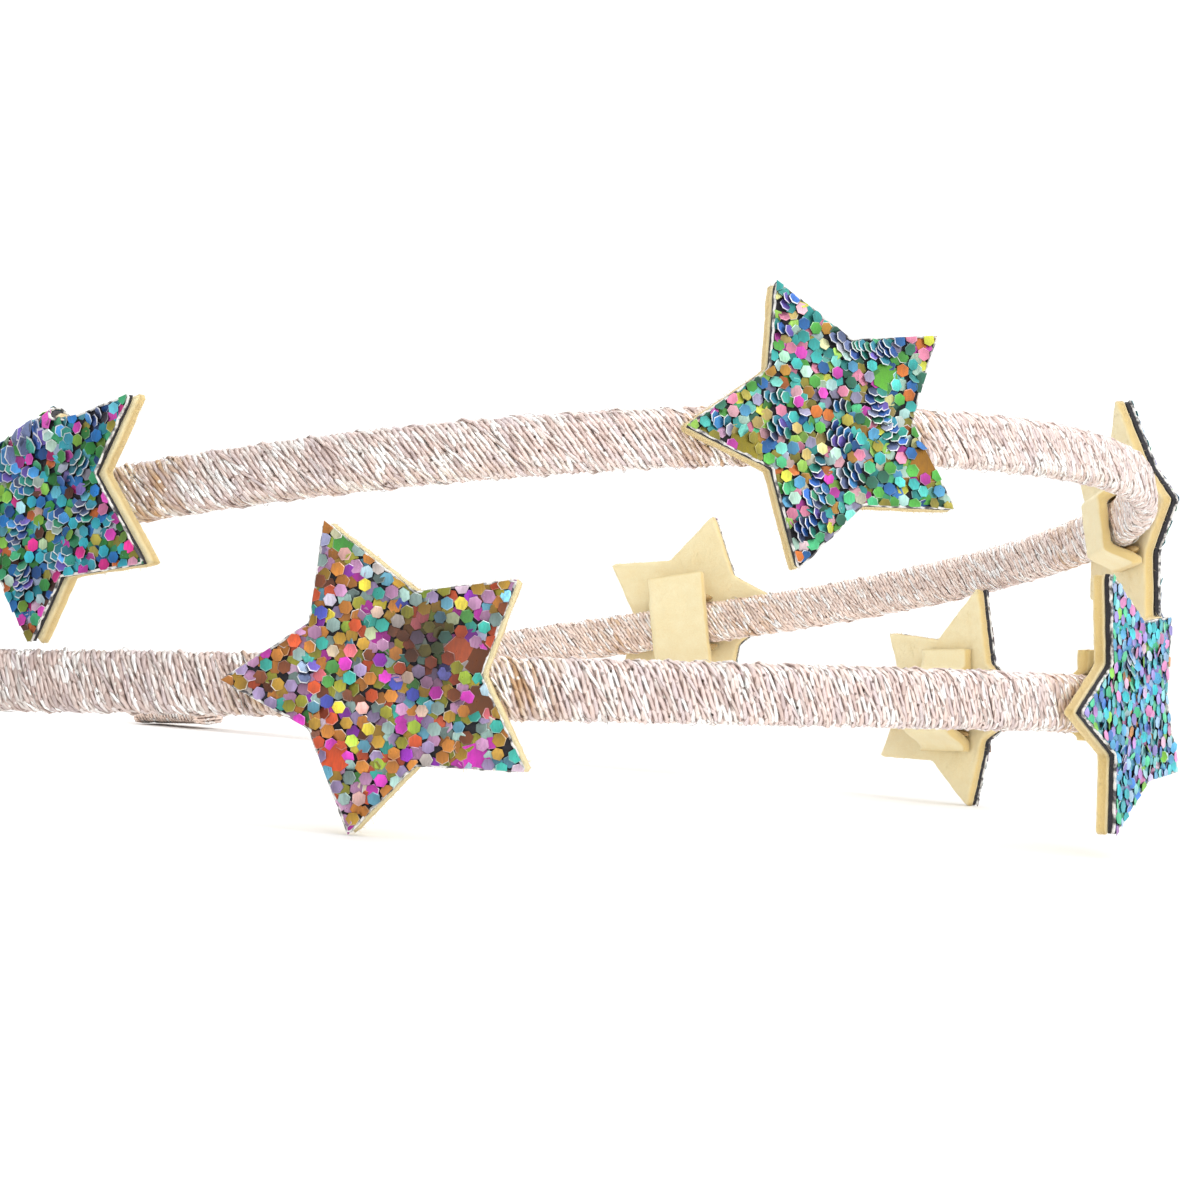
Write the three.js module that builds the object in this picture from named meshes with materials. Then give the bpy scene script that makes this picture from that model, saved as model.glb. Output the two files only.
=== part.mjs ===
// Star headband: two thread-wound bands, apart at the crown and bound together at both ends,
// with glitter stars on felt glued along them. It lies on its side on the floor, Z 0, with the
// crown towards +X and the near leg towards -Y. Millimetres and degrees.
import * as THREE from "three";

// One band: a crown arc that runs on into two legs, which curve inwards a little
const CROWN_RADIUS = 60;
const CROWN_HALF_ANGLE = 93.6;
const LEG_RADIUS = 480;
const LEG_LENGTH = 74.5;
const BAND_HEIGHT = 4.5;
const BAND_THICKNESS = 2;
const BAND_FLAT_HALF = (BAND_HEIGHT - BAND_THICKNESS) / 2;
const BAND_STEPS = 96;
const BAND_QUARTER_SIDES = 3;

// The upper band is a like band, turned and moved about the point midway between the lower one's ends.
// Its near leg is longer and its far leg shorter by the slide, so that its ends stay level with the lower's.
const SPREAD_TILT = 8;
const SPREAD_ROLL = 1.7;
const SPREAD_YAW = 2.3;
const UPPER_SHIFT = 3.9;
const UPPER_RISE = 1;
const UPPER_SLIDE = 2;

// Binding around both bands at each end
const BINDING_LENGTH = 8;
const BINDING_WALL = 0.8;
const BINDING_SIDES = 28;

// Stars
const STAR_POINTS = 5;
const STAR_RADIUS = 11.4;
const NOTCH_RATIO = 0.58;
const TIP_ROUNDING = 0.5;
const SHEET_THICKNESS = 1;
const FELT_THICKNESS = 1;
const FELT_OVERHANG = 0.1;

// Felt strip that crosses the inside of the band and bends down to the felt star above and below it.
// Its face next to the band leaves the band's inside at the crest height and reaches the felt at the
// foot height, and its other face does so a fold further out.
const PATCH_WIDTH = 6.6;
const PATCH_CREST = 1.8;
const PATCH_FOOT = 3.7;
const PATCH_FOLD = 0.6;
const PATCH_STEPS = 28;

// Pieces that touch are drawn this far apart
const GAP = 0.3;
const GLUE_GAP = 0.15;

// along: place on the band from the middle of the crown, positive on the near leg. lift: how far the
// star sits above the band's middle. spin: turn in its own plane. turn: turn about its upright.
const STARS = [
  { band: "lower", along: 63.2, lift: 0.6, spin: 3.8, turn: 0, colour: 0xc07a58 },
  { band: "lower", along: -4.9, lift: 0.2, spin: 5, turn: 4.4, colour: 0x6f9fc4 },
  { band: "lower", along: -70.4, lift: 0.8, spin: 3.2, turn: 0, colour: 0x7a9a86 },
  { band: "upper", along: 96.3, lift: 0.1, spin: 3, turn: 0, colour: 0x4f8f96 },
  { band: "upper", along: 37.4, lift: 0.1, spin: 0, turn: 5.6, colour: 0x5aa58a },
  { band: "upper", along: -40, lift: 1.1, spin: 0.4, turn: -3, colour: 0x7f8fb0 },
  { band: "upper", along: -104.2, lift: 1.4, spin: 1.8, turn: 0, colour: 0x7a9a86 },
];

// The felt strips of these stars, in the same order. slide: how far the strip sits to one side of the
// star's middle. low, high: its ends, from the band's middle. foot: how far the ends stand off the felt.
const PATCHES = [
  { slide: 0, low: -5, high: 5, foot: 0.15 },
  { slide: 0, low: -4.4, high: 4.4, foot: 1 },
  { slide: 0, low: -4.6, high: 5.9, foot: 0.15 },
  { slide: 0, low: -5, high: 5, foot: 0.15 },
  { slide: 0, low: -4.8, high: 4.8, foot: 0.15 },
  { slide: -2, low: -4.2, high: 4.6, foot: 0.15 },
  { slide: 0, low: -5.6, high: 5.6, foot: 2.4 },
];

const COLOURS = { thread: 0xd9c3ba, felt: 0xf1dfac };
const UP = new THREE.Vector3(0, 0, 1);

const radians = THREE.MathUtils.degToRad;
const LEG_START = radians(CROWN_HALF_ANGLE);
const CROWN_LENGTH = CROWN_RADIUS * LEG_START;
const HALF_LENGTH = CROWN_LENGTH + LEG_LENGTH;
const END_ANGLE = LEG_START + LEG_LENGTH / LEG_RADIUS;

// Distance of the crown arc's centre from the line through the band's two ends
const CROWN_CENTRE = (LEG_RADIUS - CROWN_RADIUS) * Math.cos(LEG_START) - LEG_RADIUS * Math.cos(END_ANGLE);

// Place and outward direction at a distance along the band's centre line, in the band's own plane
function bandFrame(along) {
  const side = Math.sign(along) || 1;
  const onLeg = Math.max(Math.abs(along) - CROWN_LENGTH, 0);
  const onCrown = Math.min(Math.abs(along), CROWN_LENGTH);
  const angle = side * (onCrown / CROWN_RADIUS + onLeg / LEG_RADIUS);
  const outward = new THREE.Vector3(Math.cos(angle), -Math.sin(angle), 0);
  const place = new THREE.Vector3(CROWN_CENTRE, 0, 0);
  if (onLeg > 0) {
    const legStart = new THREE.Vector3(Math.cos(LEG_START), -side * Math.sin(LEG_START), 0);
    place.addScaledVector(legStart, CROWN_RADIUS - LEG_RADIUS);
    place.addScaledVector(outward, LEG_RADIUS);
  } else {
    place.addScaledVector(outward, CROWN_RADIUS);
  }
  return { place, outward };
}

class BandCurve extends THREE.Curve {
  constructor(slide) {
    super();
    this.slide = slide;
  }

  getPoint(share, target = new THREE.Vector3()) {
    return target.copy(bandFrame((2 * share - 1) * HALF_LENGTH + this.slide).place);
  }
}

function addMesh(parent, name, geometry, colour, roughness, metalness) {
  const material = new THREE.MeshStandardMaterial({ color: colour, roughness, metalness });
  const mesh = new THREE.Mesh(geometry, material);
  mesh.name = name;
  parent.add(mesh);
  return mesh;
}

function addBand(parent, name, slide) {
  const section = new THREE.Shape();
  section.absarc(BAND_FLAT_HALF, 0, BAND_THICKNESS / 2, -Math.PI / 2, Math.PI / 2);
  section.absarc(-BAND_FLAT_HALF, 0, BAND_THICKNESS / 2, Math.PI / 2, (3 * Math.PI) / 2);
  const geometry = new THREE.ExtrudeGeometry(section, {
    extrudePath: new BandCurve(slide),
    steps: BAND_STEPS,
    curveSegments: BAND_QUARTER_SIDES,
  });
  return addMesh(parent, name, geometry, COLOURS.thread, 0.45, 0.4);
}

function starShape(radius) {
  const corner = (step) => {
    const angle = Math.PI - (step * Math.PI) / STAR_POINTS;
    const reach = step % 2 === 0 ? radius : radius * NOTCH_RATIO;
    return new THREE.Vector2(reach * Math.cos(angle), reach * Math.sin(angle));
  };
  const towards = (from, to) => from.clone().add(to.clone().sub(from).setLength(TIP_ROUNDING));
  const shape = new THREE.Shape();
  for (let step = 0; step < 2 * STAR_POINTS; step += 2) {
    const tip = corner(step);
    const start = towards(tip, corner(step - 1));
    const finish = towards(tip, corner(step + 1));
    const notch = corner(step + 1);
    if (step === 0) shape.moveTo(start.x, start.y);
    else shape.lineTo(start.x, start.y);
    shape.quadraticCurveTo(tip.x, tip.y, finish.x, finish.y);
    shape.lineTo(notch.x, notch.y);
  }
  return shape;
}

function starLayer(radius, thickness) {
  return new THREE.ExtrudeGeometry(starShape(radius), {
    depth: thickness,
    bevelEnabled: false,
    curveSegments: 3,
  });
}

// The strip's side profile: rise is how far it stands off the felt star where it crosses the band
function patchGeometry(rise, { low, high, foot }) {
  const standOff = (height, fold) => {
    const fall = THREE.MathUtils.smoothstep(Math.abs(height), PATCH_CREST + fold, PATCH_FOOT + fold);
    return THREE.MathUtils.lerp(rise, foot, fall);
  };
  const heights = [];
  for (let step = 0; step <= PATCH_STEPS; step += 1) {
    heights.push(THREE.MathUtils.lerp(low, high, step / PATCH_STEPS));
  }
  const nearBand = heights.map((height) => new THREE.Vector2(standOff(height, 0), height));
  const inside = heights.map(
    (height) => new THREE.Vector2(standOff(height, PATCH_FOLD) + FELT_THICKNESS, height),
  );
  const profile = new THREE.Shape([...nearBand, ...inside.reverse()]);
  const geometry = new THREE.ExtrudeGeometry(profile, { depth: PATCH_WIDTH, bevelEnabled: false });
  geometry.translate(0, 0, -PATCH_WIDTH / 2);
  geometry.rotateY(Math.PI / 2);
  return geometry;
}

function addStar(parent, name, star, strip) {
  const { place, outward } = bandFrame(star.along);
  const right = UP.clone().cross(outward);
  const group = new THREE.Group();
  group.position.copy(place);
  group.quaternion.setFromRotationMatrix(new THREE.Matrix4().makeBasis(right, UP, outward));
  group.rotateY(-radians(star.turn));
  parent.add(group);

  const bandOutside = CROWN_RADIUS + BAND_THICKNESS / 2;
  const turnClearance = bandOutside * (1 / Math.cos(radians(star.turn)) - 1);
  const feltBack = BAND_THICKNESS / 2 + GAP + turnClearance;
  const reach = PATCH_WIDTH / 2 + Math.abs(strip.slide);
  const patchTurn = reach * Math.sin(radians(Math.abs(star.turn))) + reach ** 2 / (2 * CROWN_RADIUS);
  const rise = feltBack + BAND_THICKNESS / 2 + GAP + patchTurn;
  const patch = addMesh(group, `${name}_patch`, patchGeometry(rise, strip), COLOURS.felt, 0.95, 0);
  patch.position.set(strip.slide, 0, feltBack);

  const layers = new THREE.Group();
  layers.position.set(0, star.lift, feltBack);
  layers.rotateZ(radians(star.spin));
  group.add(layers);
  const feltStar = starLayer(STAR_RADIUS + FELT_OVERHANG, FELT_THICKNESS);
  const glitterStar = starLayer(STAR_RADIUS, SHEET_THICKNESS);
  const felt = addMesh(layers, `${name}_felt`, feltStar, COLOURS.felt, 0.95, 0);
  const sheet = addMesh(layers, `${name}_sheet`, glitterStar, star.colour, 0.35, 0.5);
  sheet.position.z = FELT_THICKNESS + GLUE_GAP;
  return felt;
}

// Outline around several band sections centred on the given points, grown by a margin
function aroundSections(centres, grow) {
  const points = [];
  for (let side = 0; side < BINDING_SIDES; side += 1) {
    const angle = (2 * Math.PI * side) / BINDING_SIDES;
    const facing = new THREE.Vector2(Math.cos(angle), Math.sin(angle));
    const reach = centres.map((centre) => centre.dot(facing));
    const outermost = centres[reach.indexOf(Math.max(...reach))];
    const flatEnd = new THREE.Vector2(0, Math.sign(facing.y) * BAND_FLAT_HALF);
    points.push(flatEnd.add(outermost).addScaledVector(facing, BAND_THICKNESS / 2 + grow));
  }
  return points;
}

// A sleeve of thread around both bands, flush with the lower band's end
function addBinding(parent, name, side, upper) {
  const end = bandFrame(side * HALF_LENGTH);
  const right = UP.clone().cross(end.outward);
  const binding = new THREE.Group();
  binding.position.copy(end.place);
  binding.quaternion.setFromRotationMatrix(new THREE.Matrix4().makeBasis(end.outward, UP, right.negate()));
  parent.add(binding);
  parent.updateMatrixWorld(true);

  const centres = [];
  for (const fromEnd of [0, BINDING_LENGTH]) {
    const along = side * (HALF_LENGTH - fromEnd);
    const lowerPlace = parent.localToWorld(bandFrame(along).place);
    const upperPlace = upper.localToWorld(bandFrame(along + UPPER_SLIDE).place);
    for (const place of [lowerPlace, upperPlace]) {
      const local = binding.worldToLocal(place);
      centres.push(new THREE.Vector2(local.x, local.y));
    }
  }
  const sleeve = new THREE.Shape(aroundSections(centres, GAP + BINDING_WALL));
  sleeve.holes.push(new THREE.Path(aroundSections(centres, GAP)));
  const geometry = new THREE.ExtrudeGeometry(sleeve, { depth: BINDING_LENGTH, bevelEnabled: false });
  if (side > 0) geometry.translate(0, 0, -BINDING_LENGTH);
  return addMesh(binding, name, geometry, COLOURS.thread, 0.45, 0.4);
}

function lowestPoint(mesh) {
  const corners = mesh.geometry.getAttribute("position");
  const lowest = new THREE.Vector3(0, 0, Infinity);
  const corner = new THREE.Vector3();
  for (let index = 0; index < corners.count; index += 1) {
    mesh.localToWorld(corner.fromBufferAttribute(corners, index));
    if (corner.z < lowest.z) lowest.copy(corner);
  }
  return lowest;
}

// Tilts the headband until the lowest points of its three feet are level, then sets it on the floor
function layOnFloor(headband, body, feet) {
  for (let pass = 0; pass < 4; pass += 1) {
    headband.updateMatrixWorld(true);
    const [first, second, third] = feet.map(lowestPoint);
    const normal = second.sub(first).cross(third.sub(first)).normalize();
    if (normal.z < 0) normal.negate();
    body.applyQuaternion(new THREE.Quaternion().setFromUnitVectors(normal, UP));
  }
  headband.updateMatrixWorld(true);
  const box = new THREE.Box3().setFromObject(headband, true);
  const middle = box.getCenter(new THREE.Vector3());
  body.position.set(-middle.x, -middle.y, -box.min.z);
}

function makeHeadband() {
  const headband = new THREE.Group();
  const body = new THREE.Group();
  headband.add(body);

  const upper = new THREE.Group();
  upper.rotation.set(-radians(SPREAD_ROLL), -radians(SPREAD_TILT), radians(SPREAD_YAW), "ZXY");
  upper.position.set(0, UPPER_SHIFT, UPPER_RISE);
  body.add(upper);

  addBand(body, "lower_band", 0);
  addBand(upper, "upper_band", UPPER_SLIDE);
  const feltStars = { lower: [], upper: [] };
  STARS.forEach((star, index) => {
    const row = feltStars[star.band];
    const parent = star.band === "lower" ? body : upper;
    row.push(addStar(parent, `${star.band}_star_${row.length + 1}`, star, PATCHES[index]));
  });
  addBinding(body, "near_end_binding", 1, upper);
  const farBinding = addBinding(body, "far_end_binding", -1, upper);
  const [nearFoot, , farFoot] = feltStars.lower;
  layOnFloor(headband, body, [nearFoot, farFoot, farBinding]);
  return headband;
}

export default makeHeadband();
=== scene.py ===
"""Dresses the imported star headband: bands wound with metallic thread, felt stars, glitter cloth and glue.

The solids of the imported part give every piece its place. Shapes are worked out in millimetres, in the
headband's own frame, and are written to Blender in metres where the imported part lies.
"""

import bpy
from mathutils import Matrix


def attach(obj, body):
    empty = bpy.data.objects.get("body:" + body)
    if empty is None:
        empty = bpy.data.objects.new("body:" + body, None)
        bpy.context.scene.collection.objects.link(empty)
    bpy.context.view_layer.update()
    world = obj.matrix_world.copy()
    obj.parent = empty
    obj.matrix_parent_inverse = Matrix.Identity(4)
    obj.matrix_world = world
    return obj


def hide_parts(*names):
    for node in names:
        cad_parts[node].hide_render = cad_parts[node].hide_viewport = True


bl_info = {
    "name": "Star Headband",
    "version": (1, 0, 0),
    "blender": (4, 5, 0),
    "location": "3D View > Sidebar > Headband",
    "description": "Dresses the packed star headband with thread, felt and glitter",
    "category": "Object",
}

import math
import random
from collections import namedtuple

import bpy
import numpy as np
from bpy.props import FloatProperty, FloatVectorProperty, IntProperty, PointerProperty
from mathutils import Matrix, Vector, geometry, noise

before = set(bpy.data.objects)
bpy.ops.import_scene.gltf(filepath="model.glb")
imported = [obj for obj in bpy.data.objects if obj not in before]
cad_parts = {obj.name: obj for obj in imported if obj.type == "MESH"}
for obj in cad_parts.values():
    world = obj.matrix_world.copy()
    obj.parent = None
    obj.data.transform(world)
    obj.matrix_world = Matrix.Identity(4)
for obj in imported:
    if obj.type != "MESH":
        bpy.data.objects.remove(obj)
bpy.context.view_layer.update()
MM = 0.001
FULL_TURN = 2 * math.pi

# The bands, as the part's source draws them, in millimetres and degrees
CROWN_RADIUS = 60.0
LEG_START = math.radians(93.6)
LEG_RADIUS = 480.0
LEG_LENGTH = 74.5
HALF_HEIGHT = 2.25
HALF_THICKNESS = 1.0
FLAT_HALF = HALF_HEIGHT - HALF_THICKNESS
CROWN_LENGTH = CROWN_RADIUS * LEG_START
HALF_LENGTH = CROWN_LENGTH + LEG_LENGTH
LEG_END = LEG_START + LEG_LENGTH / LEG_RADIUS
CROWN_CENTRE = (LEG_RADIUS - CROWN_RADIUS) * math.cos(LEG_START) - LEG_RADIUS * math.cos(LEG_END)
UPPER_SLIDE = 2.0
SPREAD = (
    Matrix.Translation((0, 3.9, 1))
    @ Matrix.Rotation(math.radians(2.3), 4, "Z")
    @ Matrix.Rotation(math.radians(-1.7), 4, "X")
    @ Matrix.Rotation(math.radians(-8), 4, "Y")
)
BINDING_LENGTH = 8.0

# The stars
STAR_POINTS = 5
STAR_RADIUS = 11.4
NOTCH_RATIO = 0.58
FELT_TIP_ROUNDING = 0.4
CLOTH_TIP_ROUNDING = 0.15
FELT_THICKNESS = 1.0
FELT_OVERHANG = 0.1
GAP = 0.3
CLOTH_BOTTOM = FELT_THICKNESS + 0.05
CLOTH_THICKNESS = 0.42

# along: place on the band from the middle of the crown, positive on the near leg. lift: how far the star
# sits above the band's middle. spin: turn in its own plane. turn: turn about its upright. slip: how far
# the felt was glued to one side of the glitter cloth. runs: how many runs of flakes stand like shingles.
Star = namedtuple("Star", "band along lift spin turn slip hues runs seed")
STARS = {
    "lower_star_1": Star("lower", 63.2, 0.6, 3.8, 0, 0.35, "ember", 1, 11),
    "lower_star_2": Star("lower", -4.9, 0.2, 5.0, 4.4, -0.05, "dusk", 2, 12),
    "lower_star_3": Star("lower", -70.4, 0.8, 3.2, 0, -0.1, "ember", 6, 13),
    "upper_star_1": Star("upper", 96.3, 0.1, 3.0, 0, 0.45, "lagoon", 8, 14),
    "upper_star_2": Star("upper", 37.4, 0.1, 0.0, 5.6, -0.08, "meadow", 2, 15),
    "upper_star_3": Star("upper", -40.0, 1.1, 0.4, -3, 0.05, "dusk", 8, 16),
    "upper_star_4": Star("upper", -104.2, 1.4, 1.8, 0, -0.1, "meadow", 10, 17),
}

# The felt strips of the stars. slide: how far a strip sits to one side of its star's middle. low, high: its
# ends, from the band's middle. foot: how far the ends stand off the felt star. width: how wide it was cut.
# crest, down: where it leaves the band and where it is down at its foot, from the band's middle. bulge: how
# much further out its inner face bends.
Strip = namedtuple("Strip", "slide low high foot width crest down bulge")
STRIPS = {
    "lower_star_1": Strip(0, -5, 5, 0.15, 6.6, 1.8, 3.7, 0.6),
    "lower_star_2": Strip(0, -3, 4.4, 1, 6.6, 1.6, 2.8, 0),
    "lower_star_3": Strip(0, -4.6, 5.9, 0.15, 6.6, 1.8, 3.7, 0.6),
    "upper_star_1": Strip(0, -5, 4.4, 0.15, 6.6, 1.8, 3.7, 0.6),
    "upper_star_2": Strip(0, -4.8, 4.8, 0.15, 6.6, 1.8, 3.7, 0.6),
    "upper_star_3": Strip(-2.4, -4.2, 4.6, 0.15, 5.4, 1.8, 3.7, 0.6),
    "upper_star_4": Strip(0, -5.6, 5.6, 2.4, 6.6, 1.8, 3.7, 0.6),
}

# How far each corner of a star was cut from its true place, across and up, from the left tip over the top
CUTS = {
    "lower_star_1": [
        (-0.5, 0.4), (-0.2, 0.2), (-0.7, 0.3), (-0.2, -0.4), (-0.2, -0.3),
        (-0.4, -0.1), (-0.2, -0.3), (-0.7, 0.1), (0, 0.1), (-0.6, 0.6),
    ],
    "lower_star_2": [
        (0, 0), (0.9, -0.5), (-0.9, -0.2), (1, 0.1), (0.2, -0.2),
        (1.1, -0.1), (1.1, 0.1), (1.1, -0.4), (-1.3, 0.5), (1.3, -0.1),
    ],
    "lower_star_3": [
        (0.5, 0), (0.6, 0), (0.6, 0.7), (0.5, -0.4), (0.8, -0.4),
        (0.7, 0), (1.2, 0), (0.5, -0.2), (0.4, 0), (0.7, 0),
    ],
    "upper_star_1": [
        (0, 0), (0, 0), (0, 0), (-0.3, -0.8), (0.2, -0.6),
        (-1.3, 1), (-0.3, 0.1), (-1, 0.3), (1, 0.4), (0, 0),
    ],
    "upper_star_2": [
        (-0.1, 0.2), (0.9, 0.5), (0.3, 0.2), (0.5, 0.2), (0.4, 0),
        (0.1, 0), (0.4, 0.1), (0, 0.2), (-0.2, 0.1), (0.3, 0.8),
    ],
    "upper_star_3": [
        (0.6, -0.1), (-1.3, -0.1), (1.2, 0.3), (-1.3, -0.4), (0, 0),
        (0, 0), (0, 0), (0, 0), (0, 0), (0.1, -0.3),
    ],
    "upper_star_4": [(0, 0)] * 2 * STAR_POINTS,
}

# Colours of the flakes' film in each star, with how many parts of each
HUES = {
    "ember": [
        ("CB8236", 8), ("D4582F", 6), ("D53CBB", 5), ("BE9334", 6), ("A3A032", 5), ("B4D246", 2),
        ("3FB7A8", 3), ("68A9C2", 2), ("A590BB", 5), ("C590B9", 5), ("8BA49F", 4), ("4C56B8", 1),
        ("7C4326", 3), ("549E4C", 2), ("BCE4DA", 1), ("ECD845", 1), ("A538C6", 1), ("F27884", 1),
        ("D5C9C4", 1),
    ],
    "meadow": [
        ("58B24B", 6), ("3BAEA9", 7), ("55CFC3", 5), ("83E4D4", 3), ("2F6FB2", 3), ("5AA5D0", 3),
        ("A2983A", 5), ("BA8936", 4), ("EE90AF", 3), ("D94ABA", 3), ("DA7A36", 2), ("A6DB5E", 3),
        ("E4E852", 2), ("9B97B5", 4), ("33705A", 3), ("5AD893", 3), ("C8F0DC", 2), ("F3F2A2", 1),
        ("F4B8C4", 1), ("C9B26A", 2),
    ],
    "lagoon": [
        ("2FA3B8", 6), ("1F78C4", 6), ("3FB27A", 5), ("3CC8DC", 4), ("CE3FAE", 3), ("8573C4", 1),
        ("A2983A", 2), ("E07638", 2), ("6FD2EA", 3), ("1F569A", 4), ("8FD24E", 2), ("E884B4", 1),
        ("2F8A3E", 6), ("74A036", 4), ("5A3020", 2), ("EA2F97", 2), ("8A8796", 1),
    ],
    "dusk": [
        ("5FB8E6", 8), ("3FC8D2", 8), ("A596E4", 4), ("EA96CC", 3), ("4FD69C", 5), ("A5CBEF", 3),
        ("4A86D8", 4), ("8FD84E", 2), ("E29A4A", 1), ("C58AD8", 1), ("8FE3E6", 3),
    ],
}
SHINGLE_HUES = ["2F68BC", "2A7F94", "358A66", "3F8CCB", "5A6890", "2F9688", "6F5CB8", "2E539C"]

# Large flakes: place across and up from the star's middle, width, colour
LARGE_FLAKES = {
    "lower_star_1": [
        (-4.3, -5.4, 2.4, "D2542F"), (5.5, -5.9, 2.4, "D53CBB"), (6.2, 1.0, 2.7, "6E4028"),
        (4.8, 1.5, 2.4, "A9553A"), (6.1, -2.0, 2.6, "70442B"), (-2.7, 9.6, 2.2, "4F9A45"),
    ],
    "upper_star_2": [(4.9, 3.6, 2.3, "67B541"), (7.6, -3.2, 3.0, "A8762C"), (-7.1, -1.5, 2.7, "96882D")],
}

# Patches of flakes that lean on each other like scales: place, facing in degrees, rows, columns
SCALES = {
    "upper_star_2": [
        (-4.4, 1.6, 180, 4, 1), (2.2, 5.7, 215, 4, 3), (3.8, 5.6, 215, 4, 3), (5.2, 5.0, 215, 3, 2),
        (7.2, 6.2, 190, 4, 1), (0.8, 0.9, 180, 3, 1), (-4.4, -0.7, 195, 3, 2), (5.6, -0.7, 300, 4, 2),
        (5.0, 0.7, 300, 2, 1), (0.2, -1.3, 150, 4, 2), (-1.7, -5.9, 200, 4, 2), (-3.3, -8.4, 200, 4, 2),
        (-1.9, -7.4, 195, 3, 1), (1.2, -4.4, 200, 4, 2), (-2.6, 9.3, 215, 3, 2), (-3.3, 6.6, 200, 3, 1),
        (-9.2, 0.0, 150, 4, 1),
    ],
    "upper_star_1": [
        (-1.9, 4.6, 160, 4, 2), (0.9, 4.2, 140, 3, 1), (2.6, 4.4, 130, 3, 1), (-1.2, 1.1, 200, 5, 2),
        (-2.1, -2.1, 240, 4, 2), (1.3, -5.2, 200, 4, 2), (4.6, 2.0, 300, 3, 2), (-2.9, 2.6, 200, 4, 2),
        (1.5, -2.3, 220, 3, 2), (-1.9, -5.7, 280, 3, 2), (4.4, -2.0, 250, 3, 2), (6.0, 5.6, 20, 3, 1),
        (-5.5, 0.5, 180, 4, 2), (-6.5, -1.5, 220, 3, 2),
    ],
}

# A patch of one star whose flakes are painted dark brown, as painted shade; the flakes lie as elsewhere:
# place, reach
PAINTED_SHADE_PATCHES = {"lower_star_1": (2.7, 2.2, 3.7)}

# Colours of the painted shade on flakes, of thread stained by glue, and of the painted light that makes the
# thread paler and rosier on the far leg
PAINTED_SHADE_BROWN = "3A2E28"
GLUE_STAIN = "C79B62"
FAR_LEG_PAINTED_LIGHT = "FFEADC"

# Where the camera stood for the photograph, and which way it looked, in the headband's own frame
CAMERA_PLACE = (226.0626, -223.6536, -1.9892)
CAMERA_RIGHT = (0.859108, 0.511417, 0.019671)
CAMERA_UP = (0.00366, -0.044574, 0.998999)
CAMERA_FIELD = math.radians(22.948)


def linear(hex_colour):
    """The linear values of an sRGB hex colour."""
    shares = [int(hex_colour[start:start + 2], 16) / 255 for start in (0, 2, 4)]
    return [s / 12.92 if s <= 0.04045 else ((s + 0.055) / 1.055) ** 2.4 for s in shares]


def solid(colour):
    """A colour with full cover, as sockets take it."""
    return (*colour[:3], 1.0)


def per_mm(size):
    """Scale of a texture whose features are this many millimetres across."""
    return 1 / (size * MM)


class ThreadSettings(bpy.types.PropertyGroup):
    """Sizes and colours of the thread that the bands are wound with."""

    width: FloatProperty(
        name="Thread width", description="Width of one thread of the winding",
        default=0.48 * MM, unit="LENGTH", precision=5,
    )
    lower_lean: FloatProperty(
        name="Lower lean", description="Angle between the lower band's winding and its length",
        default=math.radians(72), subtype="ANGLE",
    )
    upper_lean: FloatProperty(
        name="Upper lean", description="Angle between the upper band's winding and its length",
        default=math.radians(59), subtype="ANGLE",
    )
    over_count: IntProperty(
        name="Over-threads", description="How many threads wind loosely over the close winding", default=3,
    )
    stray_count: IntProperty(
        name="Stray ends", description="How many ends of thread stand off each band", default=300,
    )
    pale: FloatVectorProperty(
        name="Pale thread", description="Silvery side of the thread", subtype="COLOR",
        default=linear("FCF5F0"),
    )
    rose: FloatVectorProperty(
        name="Rose thread", description="Rose side of the thread", subtype="COLOR", default=linear("F4DED5"),
    )
    lilac: FloatVectorProperty(
        name="Lilac thread", description="Shaded side of the thread", subtype="COLOR",
        default=linear("E8D9D8"),
    )
    core: FloatVectorProperty(
        name="Core", description="Colour of the band under the thread", subtype="COLOR",
        default=linear("A8948A"),
    )


class FeltSettings(bpy.types.PropertyGroup):
    """Sizes and colours of the felt stars and strips."""

    fibre_length: FloatProperty(
        name="Fibre length", description="Length of a loose fibre at the felt's edge",
        default=0.55 * MM, unit="LENGTH", precision=5,
    )
    fibre_count: IntProperty(
        name="Fibres", description="How many loose fibres a felt star has along its edge", default=1000,
    )
    colour: FloatVectorProperty(
        name="Felt", description="Colour of the felt's faces", subtype="COLOR", default=linear("FFF2C6"),
    )
    shade: FloatVectorProperty(
        name="Felt shade", description="Colour between the felt's fibres", subtype="COLOR",
        default=linear("F8E4AE"),
    )
    edge: FloatVectorProperty(
        name="Felt edge", description="Colour of the felt's cut edge", subtype="COLOR",
        default=linear("F0D48E"),
    )


class GlitterSettings(bpy.types.PropertyGroup):
    """Sizes and colours of the glitter cloth."""

    flake_width: FloatProperty(
        name="Flake width", description="Width of a flake across its corners",
        default=1.02 * MM, unit="LENGTH", precision=5,
    )
    spacing: FloatProperty(
        name="Flake spacing", description="Least distance between the middles of two flakes",
        default=0.5 * MM, unit="LENGTH", precision=5,
    )
    flake_thickness: FloatProperty(
        name="Flake thickness", description="Thickness of a flake",
        default=0.05 * MM, unit="LENGTH", precision=6,
    )
    rim: FloatVectorProperty(
        name="Flake rim", description="Colour of a flake's cut edge", subtype="COLOR",
        default=linear("F6F6F6"),
    )
    cloth: FloatVectorProperty(
        name="Backing cloth", description="Colour of the cloth under the flakes", subtype="COLOR",
        default=linear("1B1A1F"),
    )


class StageSettings(bpy.types.PropertyGroup):
    """Floor and light."""

    floor: FloatVectorProperty(
        name="Floor", description="Colour of the paper floor", subtype="COLOR", default=linear("FAFAF9"),
    )
    sky: FloatProperty(
        name="Surrounding light", description="Strength of the light from all round", default=1.18,
    )
    key: FloatProperty(
        name="Key light", description="Power of the main light", default=1.4, unit="POWER",
    )
    ceiling: FloatProperty(
        name="Ceiling", description="How many times brighter the light from above is", default=1.4,
    )


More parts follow.
